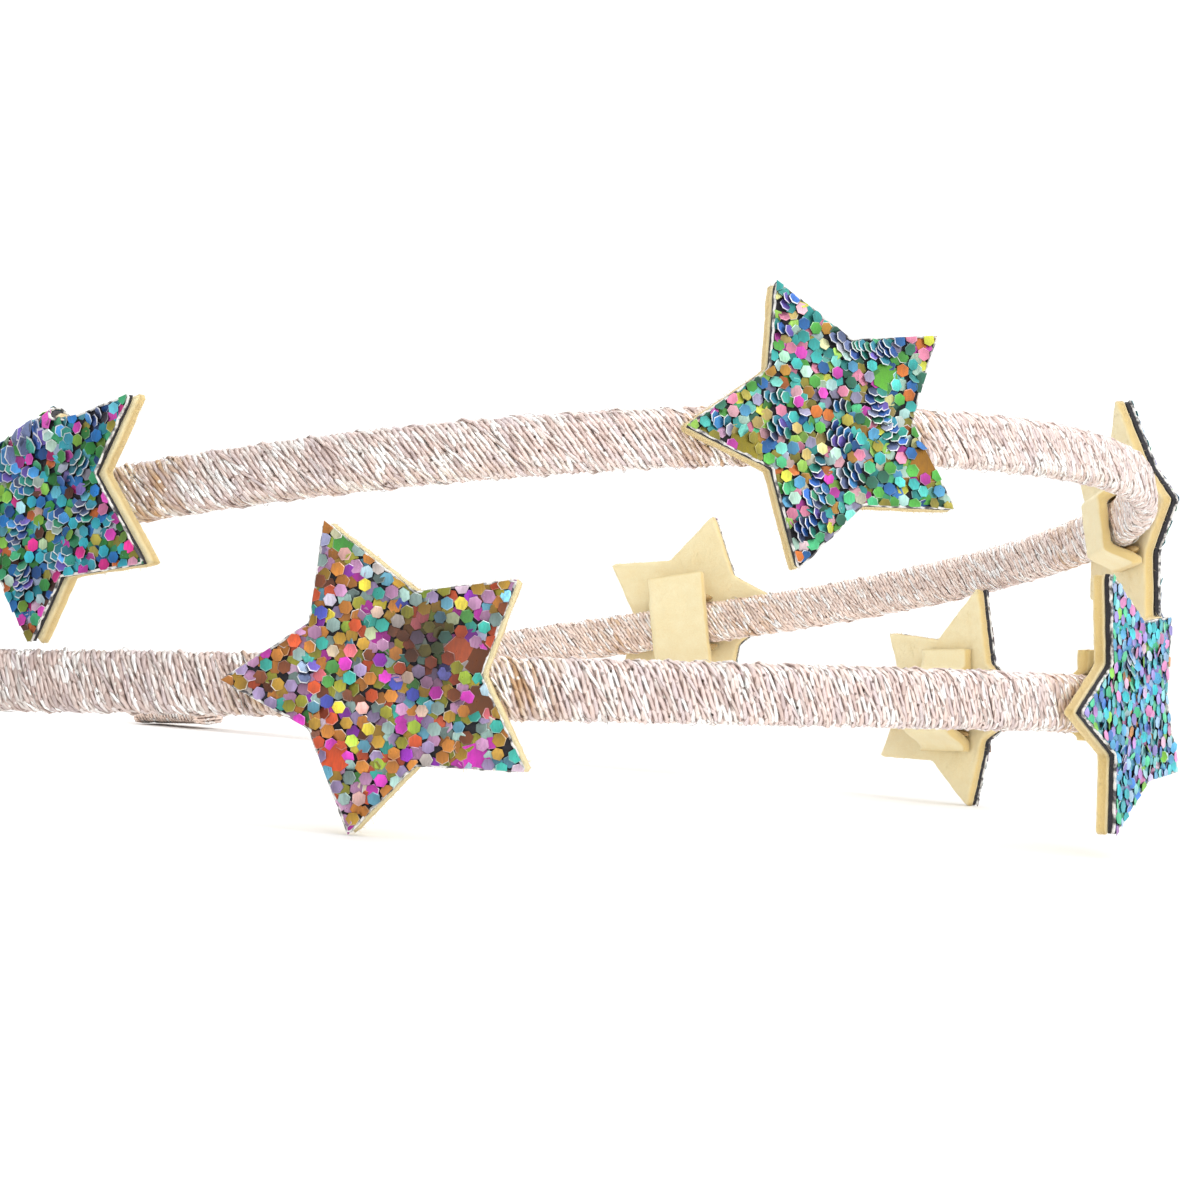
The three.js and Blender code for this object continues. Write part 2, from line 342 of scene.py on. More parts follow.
def band_frame(along):
    """Places and outward directions at distances along a band, in the band's own plane."""
    along = np.asarray(along, float)
    side = np.where(along < 0, -1.0, 1.0)
    on_leg = np.maximum(np.abs(along) - CROWN_LENGTH, 0)
    on_crown = np.minimum(np.abs(along), CROWN_LENGTH)
    angle = side * (on_crown / CROWN_RADIUS + on_leg / LEG_RADIUS)
    level = np.zeros_like(angle)
    outward = np.stack([np.cos(angle), -np.sin(angle), level], -1)
    leg_start = np.stack([level + math.cos(LEG_START), -side * math.sin(LEG_START), level], -1)
    on_the_leg = leg_start * (CROWN_RADIUS - LEG_RADIUS) + outward * LEG_RADIUS
    place = np.where((on_leg > 0)[..., None], on_the_leg, outward * CROWN_RADIUS)
    place[..., 0] += CROWN_CENTRE
    return place, outward


def star_seat(star):
    """Frame of a star on the middle of its band: across, up, outward."""
    places, outwards = band_frame([star.along])
    up = Vector((0, 0, 1))
    outward = Vector(outwards[0])
    seat = Matrix((up.cross(outward), up, outward)).transposed().to_4x4()
    seat.translation = Vector(places[0])
    spread = SPREAD if star.band == "upper" else Matrix.Identity(4)
    return spread @ seat @ Matrix.Rotation(math.radians(-star.turn), 4, "Y")


def felt_back(star):
    """Distance from the middle of the band to the back of the felt star."""
    outside = CROWN_RADIUS + HALF_THICKNESS
    return HALF_THICKNESS + GAP + outside * (1 / math.cos(math.radians(star.turn)) - 1)


def star_layers(star):
    """Frame of a star's layers: their middle at the back of the felt, facing outward."""
    lift = Matrix.Translation((0, star.lift, felt_back(star)))
    return star_seat(star) @ lift @ Matrix.Rotation(math.radians(star.spin), 4, "Z")


def lie_of_headband():
    """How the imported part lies, from the middles of its felt stars."""
    middle_of_felt = Vector((0, 0, FELT_THICKNESS / 2))
    drawn = np.array([star_layers(star) @ middle_of_felt for star in STARS.values()])
    packed = []
    for name in STARS:
        corners = np.array([vertex.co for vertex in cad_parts[f"{name}_felt"].data.vertices])
        packed.append(np.unique(np.round(corners / MM, 3), axis=0).mean(0))
    packed = np.array(packed)
    left, _, right = np.linalg.svd((drawn - drawn.mean(0)).T @ (packed - packed.mean(0)))
    mirror = np.diag([1, 1, np.linalg.det(right.T @ left.T)])
    turn = right.T @ mirror @ left.T
    shift = packed.mean(0) - turn @ drawn.mean(0)
    miss = np.abs(drawn @ turn.T + shift - packed).max()
    if miss > 0.05:
        raise RuntimeError(f"the packed stars lie {miss:.2f} mm from where the bands put them")
    lie = Matrix(turn.tolist()).to_4x4()
    lie.translation = Vector(shift)
    return lie


LIE = lie_of_headband()


def moved(points, matrix):
    """Points after a 4 by 4 matrix."""
    matrix = np.array(matrix)
    return np.asarray(points) @ matrix[:3, :3].T + matrix[:3, 3]


class Shape:
    """Points in millimetres, faces and marks on the points, gathered for one mesh."""

    def __init__(self):
        self.points = []
        self.faces = []
        self.marks = {}
        self.count = 0

    def add(self, points, faces, finish=0, **marks):
        """Adds points and lists of equal-sided faces. A mark is a colour or a number for each point."""
        self.points.append(points)
        for corners in faces:
            self.faces.append((np.asarray(corners) + self.count, finish))
        for mark, values in marks.items():
            self.marks.setdefault(mark, []).append(np.asarray(values, float))
        self.count += len(points)

    def build(self, name, place, finishes, smooth=True):
        """Makes the object, with its points moved by place and then to where the headband lies."""
        mesh = bpy.data.meshes.new(name)
        points = moved(np.concatenate(self.points), LIE @ place) * MM
        mesh.vertices.add(len(points))
        mesh.vertices.foreach_set("co", points.astype(np.float32).ravel())
        corners = np.concatenate([faces.ravel() for faces, _ in self.faces])
        sides = np.concatenate([np.full(len(faces), faces.shape[1]) for faces, _ in self.faces])
        mesh.loops.add(len(corners))
        mesh.loops.foreach_set("vertex_index", corners.astype(np.int32))
        mesh.polygons.add(len(sides))
        mesh.polygons.foreach_set("loop_start", (np.cumsum(sides) - sides).astype(np.int32))
        slots = np.concatenate([np.full(len(faces), finish) for faces, finish in self.faces])
        mesh.polygons.foreach_set("material_index", slots.astype(np.int32))
        mesh.polygons.foreach_set("use_smooth", np.full(len(sides), smooth))
        for mark, lists in self.marks.items():
            values = np.concatenate(lists)
            if values.ndim == 1:
                layer = mesh.attributes.new(mark, "FLOAT", "POINT")
                layer.data.foreach_set("value", values.astype(np.float32))
            else:
                layer = mesh.attributes.new(mark, "FLOAT_COLOR", "POINT")
                covered = np.concatenate([values, np.ones((len(values), 1))], 1)
                layer.data.foreach_set("color", covered.astype(np.float32).ravel())
        mesh.update(calc_edges=True)
        for finish in finishes:
            mesh.materials.append(finish)
        made = bpy.data.objects.new(name, mesh)
        bpy.context.scene.collection.objects.link(made)
        return made


def settle(piece, slot, *nodes):
    """A piece moves with the headband and stands for these solids, which are hidden. Its slot is not used."""
    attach(piece, "root")
    if nodes:
        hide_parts(*nodes)
    return piece


def unit(vectors):
    """Vectors of length one."""
    return vectors / np.maximum(np.linalg.norm(vectors, axis=-1, keepdims=True), 1e-9)


def loop_quads(index):
    """Faces between each closed loop of points and the next, from rows of the points' numbers."""
    start, end = index[..., :-1, :], index[..., 1:, :]
    return np.stack([start, end, np.roll(end, -1, -1), np.roll(start, -1, -1)], -1).reshape(-1, 4)


def distances(path):
    """How far along a path each of its points is."""
    return np.concatenate([[0], np.cumsum(np.linalg.norm(np.diff(path, axis=0), axis=1))])


def evenly(path, count):
    """This many points at even steps along a flat path that ends where it starts."""
    run = distances(path)
    even = np.linspace(0, run[-1], count + 1)[:-1]
    return np.stack([np.interp(even, run, path[:, axis]) for axis in (0, 1)], -1)


def strands(paths, ups, width, height, sides):
    """Closed strands along many paths of equally many points. Height lies along ups, width across them."""
    paths = np.asarray(paths, float)
    ahead = unit(np.gradient(paths, axis=1))
    across = unit(np.cross(ahead, ups))
    lift = np.cross(across, ahead)
    turn = np.arange(sides) * FULL_TURN / sides
    width = np.broadcast_to(width, paths.shape[:2])[:, :, None, None] / 2
    height = np.broadcast_to(height, paths.shape[:2])[:, :, None, None] / 2
    rings = paths[:, :, None] + across[:, :, None] * np.cos(turn)[:, None] * width
    rings = rings + lift[:, :, None] * np.sin(turn)[:, None] * height
    index = np.arange(rings[..., 0].size).reshape(rings.shape[:3])
    return rings.reshape(-1, 3), [loop_quads(index), index[:, 0], index[:, -1, ::-1]]


def each_point(values, sides):
    """Values along strands, repeated for the points of each ring."""
    values = np.asarray(values)
    return np.repeat(values.reshape(-1, *values.shape[2:]), sides, axis=0)


def set_inputs(tree, node, inputs):
    """Sets inputs of a node, by name or number. Each takes a value, an output to link, or a node whose first
    output is linked."""
    for name, value in inputs.items():
        fitting = [socket for number, socket in enumerate(node.inputs) if name in (number, socket.name)]
        socket = next(socket for socket in fitting if socket.enabled)
        if isinstance(value, bpy.types.Node):
            value = next(output for output in value.outputs if output.enabled)
        if isinstance(value, bpy.types.NodeSocket):
            tree.links.new(value, socket)
        else:
            socket.default_value = value


def add_node(tree, kind, inputs=None, **settings):
    """Adds a shader node with its settings and inputs."""
    made = tree.nodes.new(f"ShaderNode{kind}")
    for name, value in settings.items():
        setattr(made, name, value)
    set_inputs(tree, made, inputs or {})
    return made


def start_material(name):
    """A new material with its tree, its surface shader and its object coordinates."""
    material = bpy.data.materials.new(name)
    material.use_nodes = True
    tree = material.node_tree
    surface = tree.nodes["Principled BSDF"]
    place = add_node(tree, "TexCoord").outputs["Object"]
    return material, tree, surface, place


def metallised_thread():
    """Metallised polyester film slit and twisted round a thread: each turn of the film shows as a slanting
    facet about 1.2 mm long and pointed at both ends, to the left and to the right by turns, with brown specks
    where the thread shows and white ones where the film glints. Painted shade darkens the pinches between
    facets and the thread's sides."""
    material, tree, surface, place = start_material("metallised_thread")
    tint = add_node(tree, "Attribute", attribute_name="tint")
    run = add_node(tree, "Attribute", attribute_name="run").outputs["Fac"]
    across = add_node(tree, "Attribute", attribute_name="across").outputs["Fac"]
    jitter = add_node(tree, "TexNoise", {"Vector": place, "Scale": per_mm(1.4), "Detail": 1.0})
    slanted = add_node(tree, "Math", {0: across, 1: 2.2, 2: run}, operation="MULTIPLY_ADD")
    phase = add_node(tree, "Math", {0: jitter, 1: 7.0, 2: slanted}, operation="MULTIPLY_ADD")
    turns = add_node(tree, "Math", {0: phase, 1: FULL_TURN}, operation="DIVIDE")
    facet = add_node(tree, "Math", {0: turns}, operation="FLOOR")
    luck = add_node(tree, "TexWhiteNoise", {"W": facet}, noise_dimensions="1D")
    within = add_node(tree, "Math", {0: turns}, operation="FRACT")
    middle = add_node(tree, "Math", {0: within, 1: 0.5}, operation="SUBTRACT")
    fold = add_node(tree, "Math", {0: middle}, operation="ABSOLUTE")
    aside = add_node(tree, "Math", {0: across}, operation="ABSOLUTE")
    pinch = add_node(tree, "Math", {0: fold, 1: 2.0}, operation="POWER")
    waist = add_node(tree, "Math", {0: pinch, 1: 4.0, 2: aside}, operation="MULTIPLY_ADD")
    # painted shade in the pinches between facets and along the thread's sides
    crease_shade = add_node(
        tree, "MapRange", {"Value": waist, "From Min": 0.92, "From Max": 1.22, "To Min": 0.0, "To Max": 0.62},
        interpolation_type="SMOOTHSTEP",
    )
    bright = add_node(tree, "MapRange", {"Value": luck, "From Min": 0.65, "From Max": 0.9})
    lit = add_node(
        tree, "Mix", {"Factor": bright, "A": tint, "B": solid(linear("FFFDFB"))}, data_type="RGBA"
    )
    dull = add_node(
        tree, "MapRange", {"Value": luck, "From Min": 0.2, "From Max": 0.08, "To Min": 0.0, "To Max": 0.32}
    )
    dulled = add_node(
        tree, "Mix", {"Factor": dull, "A": lit, "B": solid(linear("A68A80"))}, data_type="RGBA"
    )
    shaded_creases = add_node(
        tree, "Mix", {"Factor": crease_shade, "A": dulled, "B": solid(linear("8A7064"))}, data_type="RGBA"
    )
    cells = add_node(tree, "TexVoronoi", {"Vector": place, "Scale": per_mm(0.8)})
    speck = add_node(
        tree, "MapRange", {"Value": cells, "From Min": 0.2, "From Max": 0.1, "To Min": 0.0, "To Max": 0.9}
    )
    kind = add_node(tree, "MapRange", {"Value": cells.outputs["Color"], "From Min": 0.45, "From Max": 0.46})
    speck_colour = add_node(
        tree, "Mix", {"Factor": kind, "A": solid(linear("5A4438")), "B": solid(linear("FFFCF6"))},
        data_type="RGBA",
    )
    colour = add_node(
        tree, "Mix", {"Factor": speck, "A": shaded_creases, "B": speck_colour}, data_type="RGBA"
    )
    gloss = add_node(tree, "MapRange", {"Value": luck, "To Min": 0.5, "To Max": 0.22})
    height = add_node(tree, "Math", {0: 0.5, 1: fold}, operation="SUBTRACT")
    bump = add_node(tree, "Bump", {"Height": height, "Strength": 0.9, "Distance": 0.16 * MM})
    set_inputs(
        tree, surface, {"Base Color": colour, "Roughness": gloss, "Normal": bump, "Metallic": 0.5}
    )
    return material


def braided_core(colour):
    """Dull polyester braid under the winding: it shows as brown shadow between the threads."""
    material, tree, surface, place = start_material("polyester_braid")
    cells = add_node(tree, "TexVoronoi", {"Vector": place, "Scale": per_mm(0.4)})
    dark = solid([value * 0.35 for value in colour])
    tone = add_node(tree, "Mix", {"Factor": cells, "A": solid(colour), "B": dark}, data_type="RGBA")
    bump = add_node(tree, "Bump", {"Height": cells, "Strength": 0.6, "Distance": 0.1 * MM})
    set_inputs(tree, surface, {"Base Color": tone, "Normal": bump, "Roughness": 0.8})
    return material


def wool_felt(settings):
    """Pressed wool felt: matt, softly mottled, with a nap of crossed fibres and a yellower cut edge. Painted
    shade turns the cut edge brown next to the glitter cloth. Its fibres are 0.03 mm thick, too fine to show,
    so the nap is drawn 0.28 mm wide."""
    material, tree, surface, place = start_material("wool_felt")
    edge = add_node(tree, "Attribute", attribute_name="edge").outputs["Fac"]
    glued = add_node(tree, "Attribute", attribute_name="glued").outputs["Fac"]
    mottle = add_node(
        tree, "TexNoise", {"Vector": place, "Scale": per_mm(1.6), "Detail": 3.0, "Roughness": 0.6}
    )
    fibres = add_node(
        tree, "TexNoise",
        {"Vector": place, "Scale": per_mm(0.28), "Detail": 3.0, "Roughness": 0.7, "Distortion": 2.5},
    )
    both = add_node(tree, "Math", {0: mottle, 1: 0.5, 2: fibres}, operation="MULTIPLY_ADD")
    share = add_node(tree, "MapRange", {"Value": both, "From Min": 0.5, "From Max": 0.95})
    face = add_node(
        tree, "Mix", {"Factor": share, "A": solid(settings.shade), "B": solid(settings.colour)},
        data_type="RGBA",
    )
    rimmed = add_node(tree, "Mix", {"Factor": edge, "A": face, "B": solid(settings.edge)}, data_type="RGBA")
    # painted shade: the cut edge turns brown next to the glitter cloth
    shade_by_cloth_share = add_node(tree, "Math", {0: glued, 1: 0.3}, operation="MULTIPLY")
    toned = add_node(
        tree, "Mix", {"Factor": shade_by_cloth_share, "A": rimmed, "B": solid(linear("9A7434"))}, data_type="RGBA"
    )
    bump = add_node(tree, "Bump", {"Height": fibres, "Strength": 0.8, "Distance": 0.12 * MM})
    set_inputs(tree, surface, {"Base Color": toned, "Normal": bump, "Roughness": 0.95})
    set_inputs(tree, surface, {"Sheen Weight": 0.35, "Sheen Roughness": 0.6})
    return material


def woven_backing(colour):
    """Black polyester cloth, plain weave of 0.4 mm yarns: dull, with yarns that just catch the light."""
    material, tree, surface, place = start_material("black_polyester_cloth")
    weave = add_node(tree, "TexVoronoi", {"Vector": place, "Scale": per_mm(0.4), "Randomness": 0.35})
    lit = solid([value * 2.6 for value in colour])
    tone = add_node(tree, "Mix", {"Factor": weave, "A": lit, "B": solid(colour)}, data_type="RGBA")
    bump = add_node(tree, "Bump", {"Height": weave, "Strength": 0.7, "Distance": 0.1 * MM})
    set_inputs(tree, surface, {"Base Color": tone, "Normal": bump, "Roughness": 0.75})
    return material


def glitter_film():
    """Hexagonal flakes punched from metallised polyester film: each one colour, with a pale cut edge, faint
    scratches from rolling and a gloss that differs from flake to flake. Real scratches are too fine to show,
    so they are drawn 0.16 mm wide."""
    material, tree, surface, place = start_material("metallised_polyester_flakes")
    tint = add_node(tree, "Attribute", attribute_name="tint")
    drawn_out = add_node(
        tree, "Mapping", {"Vector": place, "Scale": (1.0, 1.0, 0.25), "Rotation": (0.5, 0.3, 0.0)}
    )
    scratches = add_node(tree, "TexNoise", {"Vector": drawn_out, "Scale": per_mm(0.16), "Detail": 2.0})
    wear = add_node(tree, "MapRange", {
        "Value": scratches, "From Min": 0.3, "From Max": 0.75, "To Min": 0.0, "To Max": 0.3,
    })
    darkened = add_node(
        tree, "Mix", {"Factor": wear, "A": tint, "B": solid(linear("3C3A3A"))}, data_type="RGBA"
    )
    gloss = add_node(tree, "MapRange", {"Value": scratches, "To Min": 0.18, "To Max": 0.5})
    bump = add_node(tree, "Bump", {"Height": scratches, "Strength": 0.15, "Distance": 0.04 * MM})
    set_inputs(tree, surface, {"Base Color": darkened, "Roughness": gloss, "Normal": bump, "Metallic": 0.6})
    return material


def acrylic_binder():
    """Clear acrylic binder, clouded white where it was cut and broken, grey where the cloth shows through."""
    material, tree, surface, place = start_material("acrylic_binder")
    broken = add_node(tree, "TexNoise", {"Vector": place, "Scale": per_mm(0.7), "Detail": 2.0})
    cover = add_node(tree, "MapRange", {"Value": broken, "From Min": 0.4, "From Max": 0.55})
    tone = add_node(
        tree, "Mix", {"Factor": cover, "A": solid(linear("4A484B")), "B": solid(linear("E9E7E3"))},
        data_type="RGBA",
    )
    set_inputs(tree, surface, {"Base Color": tone, "Roughness": 0.35})
    return material


def hot_melt_glue():
    """Hot melt glue gone amber: clear to cloudy, glossy, with small bubbles."""
    material, tree, surface, place = start_material("hot_melt_glue")
    cloud = add_node(tree, "TexNoise", {"Vector": place, "Scale": per_mm(0.9), "Detail": 3.0})
    tone = add_node(
        tree, "Mix", {"Factor": cloud, "A": solid(linear("B98A4A")), "B": solid(linear("E6CC92"))},
        data_type="RGBA",
    )
    bump = add_node(tree, "Bump", {"Height": cloud, "Strength": 0.4, "Distance": 0.15 * MM})
    set_inputs(tree, surface, {"Base Color": tone, "Normal": bump, "Roughness": 0.25})
    set_inputs(tree, surface, {"Transmission Weight": 0.3, "IOR": 1.48})
    return material


def paper_floor(colour):
    """Matt white paper, with the faint unevenness of its fibres."""
    material, tree, surface, place = start_material("matt_white_paper")
    fibre = add_node(tree, "TexNoise", {"Vector": place, "Scale": per_mm(6.0), "Detail": 4.0})
    lower = solid([value * 0.985 for value in colour])
    tone = add_node(tree, "Mix", {"Factor": fibre, "A": lower, "B": solid(colour)}, data_type="RGBA")
    set_inputs(tree, surface, {"Base Color": tone, "Roughness": 0.9})
    return material


# Once round a band's section: over the rounded top, down the flat outside, round the bottom and up the
# inside. The turn of the surface and the middle it turns about, against the distance gone.
RIM_STEPS = [math.pi * HALF_THICKNESS, 2 * FLAT_HALF] * 2
RIM_RUN = np.concatenate([[0], np.cumsum(RIM_STEPS)])
RIM_TURN = np.array([-0.5, 0.5, 0.5, 1.5, 1.5]) * math.pi
RIM_MIDDLE = np.array([1, 1, -1, -1, 1]) * FLAT_HALF
RIM_LENGTH = RIM_RUN[-1]
UPWARD = np.array([0.0, 0.0, 1.0])

# The winding: the share of its width that a thread takes beside the next, how far it and the core lie in the
# band's surface, how much less the loose threads lean and how far out they lie, the length of one turn of
# the film, how far from a band's end the winding starts to close and how far it draws in, how far the core
# stays short of the end, and how many steps a thread has once round the band
THREAD_SHARE = 0.78
THREAD_SINK = 0.12
CORE_SINK = 0.2
OVER_LEAN = math.radians(14)
OVER_RISE = 0.04
FILM_TURN = 1.15
END_ROUNDING = 1.0
END_DRAW = 0.85
CORE_END = 0.7
STEPS_ROUND = 16

# Where along the near leg the thread is painted darker, as painted shade, and how far from a star's middle
# the glue stains it
NEAR_SHADE_START = 45
NEAR_SHADE_REACH = 55
STAIN_PLACE = 8.5
STAIN_REACH = 4.5


def on_band(along, around, stand_off):
    """Places on a band's flat oval surface and the directions off it, by distances along and around it."""
    around = np.mod(around, RIM_LENGTH)
    angle = np.interp(around, RIM_RUN, RIM_TURN)[..., None]
    middle = np.interp(around, RIM_RUN, RIM_MIDDLE)[..., None]
    place, outward = band_frame(along)
    off = UPWARD * np.cos(angle) + outward * np.sin(angle)
    return place + UPWARD * middle + off * (HALF_THICKNESS + np.asarray(stand_off)[..., None]), off


def waves(chance, count, places, lengths, size):
    """Smooth uneven sway for each of several threads, as a sum of waves of these lengths."""
    total = np.zeros((count, len(places)))
    for length in lengths:
        offset = chance.random((count, 1)) * FULL_TURN
        stretch = 0.8 + 0.4 * chance.random((count, 1))
        total += np.sin(places[None] * FULL_TURN / length * stretch + offset)
    return total * size / len(lengths)


def thread_tints(chance, settings, places, count, leg=None):
    """Colours along threads: pale, rose and lilac in stretches of a few millimetres, with painted light that
    makes them paler and rosier on the far leg and painted shade that makes them darker towards the near end.
    leg: where on the band they all lie, if not at their own places."""
    lies = places if leg is None else np.full(len(places), leg)
    share = waves(chance, count, places, lengths=(3.1, 7.3, 1.7), size=0.8)
    share = share + (chance.random((count, 1)) - 0.5) * 0.3
    share = np.clip(0.5 + share, 0, 1)[..., None]
    pale, rose, lilac = (np.array(colour) for colour in (settings.pale, settings.rose, settings.lilac))
    low = np.clip(share * 2, 0, 1)
    high = np.clip(share * 2 - 1, 0, 1)
    # painted shade: the thread is darker towards the near end
    darkened = 1 - 0.24 * np.clip((lies - NEAR_SHADE_START) / NEAR_SHADE_REACH, 0, 1)
    tints = ((lilac * (1 - low) + rose * low) * (1 - high) + pale * high) * darkened[:, None]
    # painted light: the thread is paler and rosier on the far leg
    far_painted_light = 0.8 * np.clip(-1.6 * lies / HALF_LENGTH, 0, 1)[:, None]
    return tints * (1 - far_painted_light) + np.array(linear(FAR_LEG_PAINTED_LIGHT)) * far_painted_light


def add_threads(shape, paths, ups, width, height, tints, run, sides=4):
    """Adds strands of thread with their colours, the turns of their film and how far a point is to one side.
    Every other strand is twisted the other way."""
    points, faces = strands(paths, ups, width, height, sides)
    side = np.cos(np.arange(sides) * FULL_TURN / sides)
    twist = np.where(np.arange(len(paths)) % 2, 1.0, -1.0)[:, None]
    shape.add(
        points, faces, 0, tint=each_point(np.broadcast_to(tints, paths.shape), sides),
        run=each_point(np.broadcast_to(run, paths.shape[:2]), sides),
        across=(twist * np.tile(side, paths.shape[1])).ravel(),
    )


def stained(tints, chance, band, along):
    """Thread colours after glue has soaked into the thread beside each star."""
    stain = np.array(linear(GLUE_STAIN))
    count = len(tints)
    patchy = np.clip(waves(chance, count, along, lengths=(2.1, 4.7), size=1.6) + 0.1, 0, 1)
    for star in STARS.values():
        if star.band == band:
            beside = np.clip(1 - np.abs(np.abs(along - star.along) - STAIN_PLACE) / STAIN_REACH, 0, 1)
            share = (patchy * beside)[..., None] * 0.8
            tints = tints * (1 - share) + stain * share
    return tints


def end_taper(run):
    """How far the winding draws in where it closes over a band's ends."""
    share = np.clip((np.abs(run) - HALF_LENGTH) / END_ROUNDING + 1, 0, 1)
    return END_DRAW * (1 - np.sqrt(1 - share ** 2))


def wind(shape, chance, settings, band, slide, count, lean, stand_off, width):
    """Adds threads that wind round a band from end to end, leaning by an angle to its length."""
    per_length = math.tan(lean)
    steps = round(2 * HALF_LENGTH * per_length * STEPS_ROUND / RIM_LENGTH)
    run = np.linspace(-HALF_LENGTH, HALF_LENGTH, steps)
    starts = np.arange(count)[:, None] * RIM_LENGTH / count
    sway = waves(chance, count, run, lengths=(9.0, 4.1, 2.3), size=0.14)
    hop = waves(chance, count, run, lengths=(5.3, 2.9, 1.6), size=0.1)
    around = starts - per_length * run[None] + sway
    along = np.broadcast_to(run + slide, around.shape)
    paths, off = on_band(along, around, stand_off + hop - end_taper(run))
    thick = width * (1 + waves(chance, count, run, lengths=(3.7, 1.3), size=0.14))
    tints = stained(thread_tints(chance, settings, run, count), chance, band, run + slide)
    turns = run[None] / math.cos(lean) * FULL_TURN / FILM_TURN
    own_start = np.arange(count)[:, None] * 4001.3
    add_threads(shape, paths, off, thick, thick * 0.7, tints, turns + own_start)


def add_core(shape, slide):
    """Adds the closed core under the winding."""
    run = np.linspace(-HALF_LENGTH + CORE_END, HALF_LENGTH - CORE_END, 260) + slide
    around = np.linspace(0, RIM_LENGTH, 20, endpoint=False)
    along, around = np.meshgrid(run, around, indexing="ij")
    points, _ = on_band(along, around, -CORE_SINK)
    index = np.arange(along.size).reshape(along.shape)
    bare = np.zeros(along.size)
    faces = [loop_quads(index), index[:1], index[-1:, ::-1]]
    shape.add(points.reshape(-1, 3), faces, 1, tint=np.zeros((along.size, 3)), run=bare, across=bare)


def add_strays(shape, chance, settings, slide, count):
    """Adds short ends of thread that bow off a band."""
    share = np.linspace(0, 1, 6)
    length = 0.8 + 1.6 * chance.random((count, 1))
    lean = np.radians(35 + 50 * chance.random((count, 1)))
    along = (2 * chance.random((count, 1)) - 1) * (HALF_LENGTH - 12) + slide + share * length * np.cos(lean)
    around = chance.random((count, 1)) * RIM_LENGTH - share * length * np.sin(lean)
    lift = (0.06 + 0.2 * chance.random((count, 1)) ** 2) * np.sin(np.pi * share * 0.9)
    paths, off = on_band(along, around, 0.03 + lift)
    add_threads(
        shape, paths, off, width=0.07, height=0.05, tints=np.array(settings.pale), run=share * length * 7,
        sides=3,
    )


class HEADBAND_OT_wind_bands(bpy.types.Operator):
    """Wind both bands with metallic thread over a braided core"""

    bl_idname = "headband.wind_bands"
    bl_label = "Wind the bands"

    def execute(self, context):
        settings = context.scene.headband_thread
        finishes = [metallised_thread(), braided_core(settings.core)]
        width = settings.width / MM
        for band, slide, spread, lean in (
            ("lower", 0.0, Matrix.Identity(4), settings.lower_lean),
            ("upper", UPPER_SLIDE, SPREAD, settings.upper_lean),
        ):
            chance = np.random.default_rng(5 + int(slide))
            shape = Shape()
            count = round(RIM_LENGTH * math.cos(lean) / (width * THREAD_SHARE))
            wind(shape, chance, settings, band, slide, count, lean, -THREAD_SINK, width)
            count = settings.over_count
            wind(shape, chance, settings, band, slide, count, lean - OVER_LEAN, OVER_RISE, width * 0.7)
            add_strays(shape, chance, settings, slide, settings.stray_count)
            add_core(shape, slide)
            piece = shape.build(f"{band}_band_winding", spread, finishes)
            settle(piece, "thread", f"{band}_band")
        return {"FINISHED"}


# The sleeves at the ends: width of their thread, points round them and how deep their two ends lie
BINDING_THREAD = 0.4
BINDING_POINTS = 48
BINDING_ENDS = (0.25, BINDING_LENGTH - 0.1)


